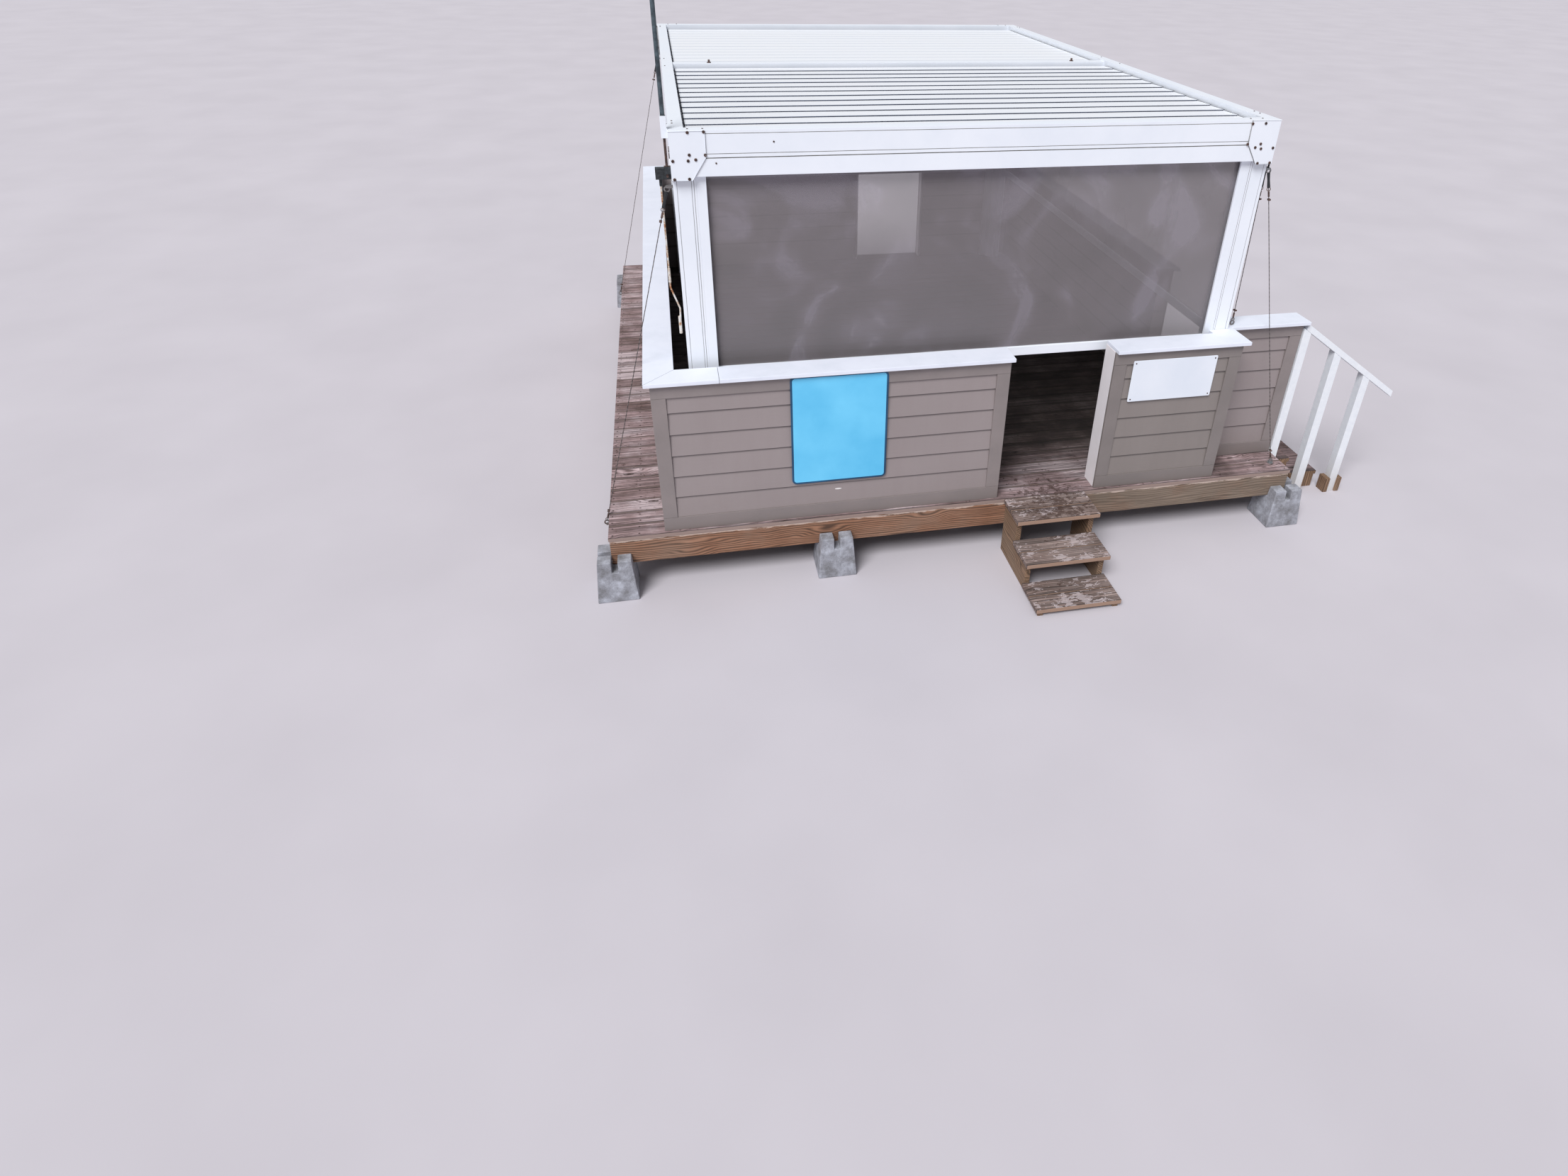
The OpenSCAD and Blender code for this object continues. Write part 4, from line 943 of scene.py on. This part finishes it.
# the zinc shows a fine spangle, with brown rust in patches
galvanised, place = new_material("hot-dip galvanised steel")
spangle = add(galvanised, "TexVoronoi", {"Vector": place, "Scale": 260})
tone = add(galvanised, "ValToRGB", {"Fac": spangle}, stops=[(0, "#7d8083"), (1, "#a3a6a8")])
rust = add(galvanised, "TexNoise", {"Vector": place, "Scale": 7, "Detail": 4})
spot = add(galvanised, "ValToRGB", {"Fac": rust}, stops=[(0.5, 0), (0.64, 0.8)])
rusted = add(galvanised, "MixRGB", {"Fac": spot, "Color1": tone, "Color2": "#6b4a38"})
dress(galvanised, rusted, 0.5, metallic=0.7)
# the eyes and their fixings are the node's own, with the wires cut away and the cuts closed
eyes = finished("stay_wires", galvanised, 0, name="stay_eyes")
form = bmesh.new()
form.from_mesh(eyes.data)
long_edges = [edge for edge in form.edges if edge.calc_length() > 0.4]
bmesh.ops.delete(form, geom=list({face for edge in long_edges for face in edge.link_faces}), context="FACES")
bmesh.ops.holes_fill(form, edges=[edge for edge in form.edges if edge.is_boundary], sides=0)
bmesh.ops.recalc_face_normals(form, faces=form.faces)
form.to_mesh(eyes.data)
form.free()
ease(eyes, 0.0006, 1)

# one thimble with its ferrule and clip, hanging from an eye along -Z
bpy.ops.object.select_all(action="DESELECT")
bpy.ops.mesh.primitive_torus_add(major_radius=0.011, minor_radius=0.0026, major_segments=20,
                                 minor_segments=8, location=(0, 0, -0.024),
                                 rotation=(0, math.radians(90), 0))
thimble = bpy.context.object
bpy.ops.object.transform_apply(location=True, rotation=True)
bpy.ops.object.mode_set(mode="EDIT")
bpy.ops.mesh.primitive_cylinder_add(vertices=12, radius=0.0058, depth=0.034, location=(0, 0, -0.056))
for nut_x in (0.009, -0.009):
    bpy.ops.mesh.primitive_cylinder_add(vertices=6, radius=0.0055, depth=0.008,
                                        location=(nut_x, 0.006, -0.092), rotation=(math.radians(90), 0, 0))
bpy.ops.mesh.primitive_cube_add(size=1, location=(0, -0.001, -0.092), scale=(0.026, 0.01, 0.011))
bpy.ops.object.mode_set(mode="OBJECT")
ease(thimble, 0.001, 1)
# the upper thimbles hang 95 mm below the eyes, under the slings
lowered = Matrix.Translation((0, 0, -0.095))
thimble_places = [turn @ lowered for turn in head_turns] + foot_turns
join_copies(thimble, thimble_places, "stay_thimbles", bolt_steel)

# black webbing is matt, with ribs 2 mm apart across it
webbing, place = new_material("black polyester webbing")
ribs = add(webbing, "TexWave", {"Vector": place, "Scale": 157}, bands_direction="Z").outputs["Fac"]
tone = add(webbing, "ValToRGB", {"Fac": ribs}, stops=[(0.2, "#1b1c1f"), (0.8, "#35373b")])
dress(webbing, tone, 0.85, bump=(ribs, 0.5, 0.0006))
# one sling: a flat tube of webbing round the rope from the eye to the thimble, drawn in at its middle
sling_middle = -0.06
bpy.ops.object.select_all(action="DESELECT")
bpy.ops.mesh.primitive_cylinder_add(vertices=12, radius=0.0105, depth=0.094, location=(0, 0, sling_middle))
sling = bpy.context.object
bpy.ops.object.transform_apply(location=True)
bpy.ops.object.mode_set(mode="EDIT")
bpy.ops.mesh.select_all(action="SELECT")
bpy.ops.mesh.subdivide(number_cuts=1)
form = bmesh.from_edit_mesh(sling.data)
for vertex in form.verts:
    vertex.co.x *= 0.72
    if abs(vertex.co.z - sling_middle) < 0.001:
        vertex.co.x *= 0.8
        vertex.co.y *= 0.8
bmesh.update_edit_mesh(sling.data)
bpy.ops.object.mode_set(mode="OBJECT")
ease(sling, 0.001, 1)
join_copies(sling, head_turns, "stay_slings", webbing)

# one hook strap: webbing from the corner plate's edge out and down to the eye
bpy.ops.object.select_all(action="DESELECT")
bpy.ops.mesh.primitive_plane_add(size=0.014, location=(1.8385, 0, 2.682), rotation=(0, math.radians(90), 0))
strap = bpy.context.object
bpy.ops.object.transform_apply(location=True, rotation=True)
bpy.ops.object.mode_set(mode="EDIT")
for across, down in ((0.004, -0.016), (0.007, -0.022), (0.007, -0.03), (0.0, -0.03)):
    low = min(v.co.z for v in bmesh.from_edit_mesh(strap.data).verts)
    pick(strap, "edges", lambda edge: all(v.co.z < low + 0.001 for v in edge.verts))
    bpy.ops.mesh.extrude_region_move(TRANSFORM_OT_translate={"value": (across, 0, down)})
bpy.ops.mesh.select_all(action="SELECT")
bpy.ops.mesh.normals_make_consistent(inside=False)
bpy.ops.object.mode_set(mode="OBJECT")
thick = strap.modifiers.new("webbing", "SOLIDIFY")
thick.thickness = 0.005
thick.offset = 0
bpy.ops.object.modifier_apply(modifier=thick.name)
ease(strap, 0.001, 1)
strap_places = []
for sx, y in ((1, -head_y), (1, second_head_y), (1, head_y), (-1, head_y)):
    half_turn = Matrix.Rotation(0 if sx > 0 else math.pi, 4, "Z")
    strap_places.append(Matrix.Translation((0, y, 0)) @ half_turn)
join_copies(strap, strap_places, "stay_straps", webbing)


# Notice board. A bare cyan panel of foam PVC with rounded corners and a deep blue border, screwed to
# the front wall with its top tucked under the cap.
def laminated_panel(name, dark, light):
    """Satin laminate over foam PVC between two tones, faded unevenly by the sun, with fine scratches."""
    material, place = new_material(name)
    fade = add(material, "TexNoise", {"Vector": place, "Scale": 3.5, "Detail": 6})
    tone = add(material, "ValToRGB", {"Fac": fade}, stops=[(0.3, dark), (0.7, light)])
    turned = add(material, "Mapping", {"Vector": place, "Scale": (60, 60, 9), "Rotation": (0, 0.4, 0)})
    scratch = add(material, "TexNoise", {"Vector": turned, "Scale": 2, "Detail": 5})
    dress(material, tone, 0.38, bump=(scratch, 0.05, 0.0005))
    return material


def sheet_panel(name, low, high, thickness, corner, border, face, rim):
    """An upright panel facing -Y with rounded corners and an inset border, its back on the wall."""
    bpy.ops.object.select_all(action="DESELECT")
    centre = (low + high) / 2
    bpy.ops.mesh.primitive_plane_add(size=1, location=centre, rotation=(math.radians(90), 0, 0))
    panel = bpy.context.object
    panel.name = name
    panel.data.name = name
    panel.scale = (high.x - low.x, high.z - low.z, 1)
    bpy.ops.object.transform_apply(location=True, rotation=True, scale=True)
    bpy.ops.object.mode_set(mode="EDIT")
    bpy.ops.mesh.select_all(action="SELECT")
    bpy.ops.mesh.bevel(offset=corner, segments=6, affect="VERTICES")
    bpy.ops.mesh.extrude_region_move(TRANSFORM_OT_translate={"value": (0, -thickness, 0)})
    front_at = centre.y - thickness * 0.9
    pick(panel, "faces", lambda face: face.calc_center_median().y < front_at and len(face.verts) > 4)
    bpy.ops.mesh.inset(thickness=0.0015, depth=0.001)
    bpy.ops.mesh.inset(thickness=border)
    bpy.ops.object.mode_set(mode="OBJECT")
    panel.data.materials.append(rim)
    panel.data.materials.append(face)
    front = min(v.co.y for v in panel.data.vertices)
    for polygon in panel.data.polygons:
        polygon.material_index = int(polygon.center.y < front + 0.0001 and len(polygon.vertices) > 4)
    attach(panel, "hut")


wall_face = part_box("trim_boards")[0].y
cyan = laminated_panel("cyan printed foam PVC", "#5cc0ee", "#74d2fb")
blue = laminated_panel("deep blue printed border", "#0c3a5c", "#14547c")
sheet_panel("notice_board", Vector((-1.235, wall_face, 0.70)), Vector((-0.616, wall_face, 1.475)),
            0.006, 0.032, 0.011, cyan, blue)


# Name plate. A bare white aluminium-composite plate on the right front wall, with a screw in each corner.
white_face = laminated_panel("white aluminium composite", "#dfe6f1", "#e9eef7")
plate_low = Vector((1.045, wall_face, 1.11))
plate_high = Vector((1.656, wall_face, 1.412))
sheet_panel("name_plate", plate_low, plate_high, 0.003, 0.008, 0.004, white_face, white_face)
screw_in = 0.018
plate_screws = []
for x in (plate_low.x + screw_in, plate_high.x - screw_in):
    for z in (plate_low.z + screw_in, plate_high.z - screw_in):
        plate_screws.append(Matrix.Translation((x, wall_face - 0.004, z)) @ to_front)
join_copies(bolt_model(0.005, 0.002, 0.001), plate_screws, "plate_screws", bolt_steel)


# Ground and light. A pale plain floor with a soft sun from the front left and an even sky.
bpy.ops.object.select_all(action="DESELECT")
bpy.ops.mesh.primitive_plane_add(size=400, location=(0, 0, 0))
floor = bpy.context.object
floor.name = "floor"
ground, place = new_material("pale floor")
grain = add(ground, "TexNoise", {"Vector": place, "Scale": 0.8, "Detail": 3})
tone = add(ground, "ValToRGB", {"Fac": grain}, stops=[(0.3, "#c3bec5"), (0.7, "#c9c4cb")])
dress(ground, tone, 0.95)
floor.data.materials.append(ground)

sun = bpy.data.objects.new("sun", bpy.data.lights.new("sun", "SUN"))
bpy.context.scene.collection.objects.link(sun)
sun.data.energy = 3.0
sun.data.angle = math.radians(28)
sun.rotation_euler = (math.radians(30), math.radians(-27), 0)

world = bpy.data.worlds.new("sky")
bpy.context.scene.world = world
world.use_nodes = True
feed(world.node_tree.nodes["Background"], {"Color": "#f4f6fb", "Strength": 0.44})

bpy.context.scene.view_settings.view_transform = "Standard"
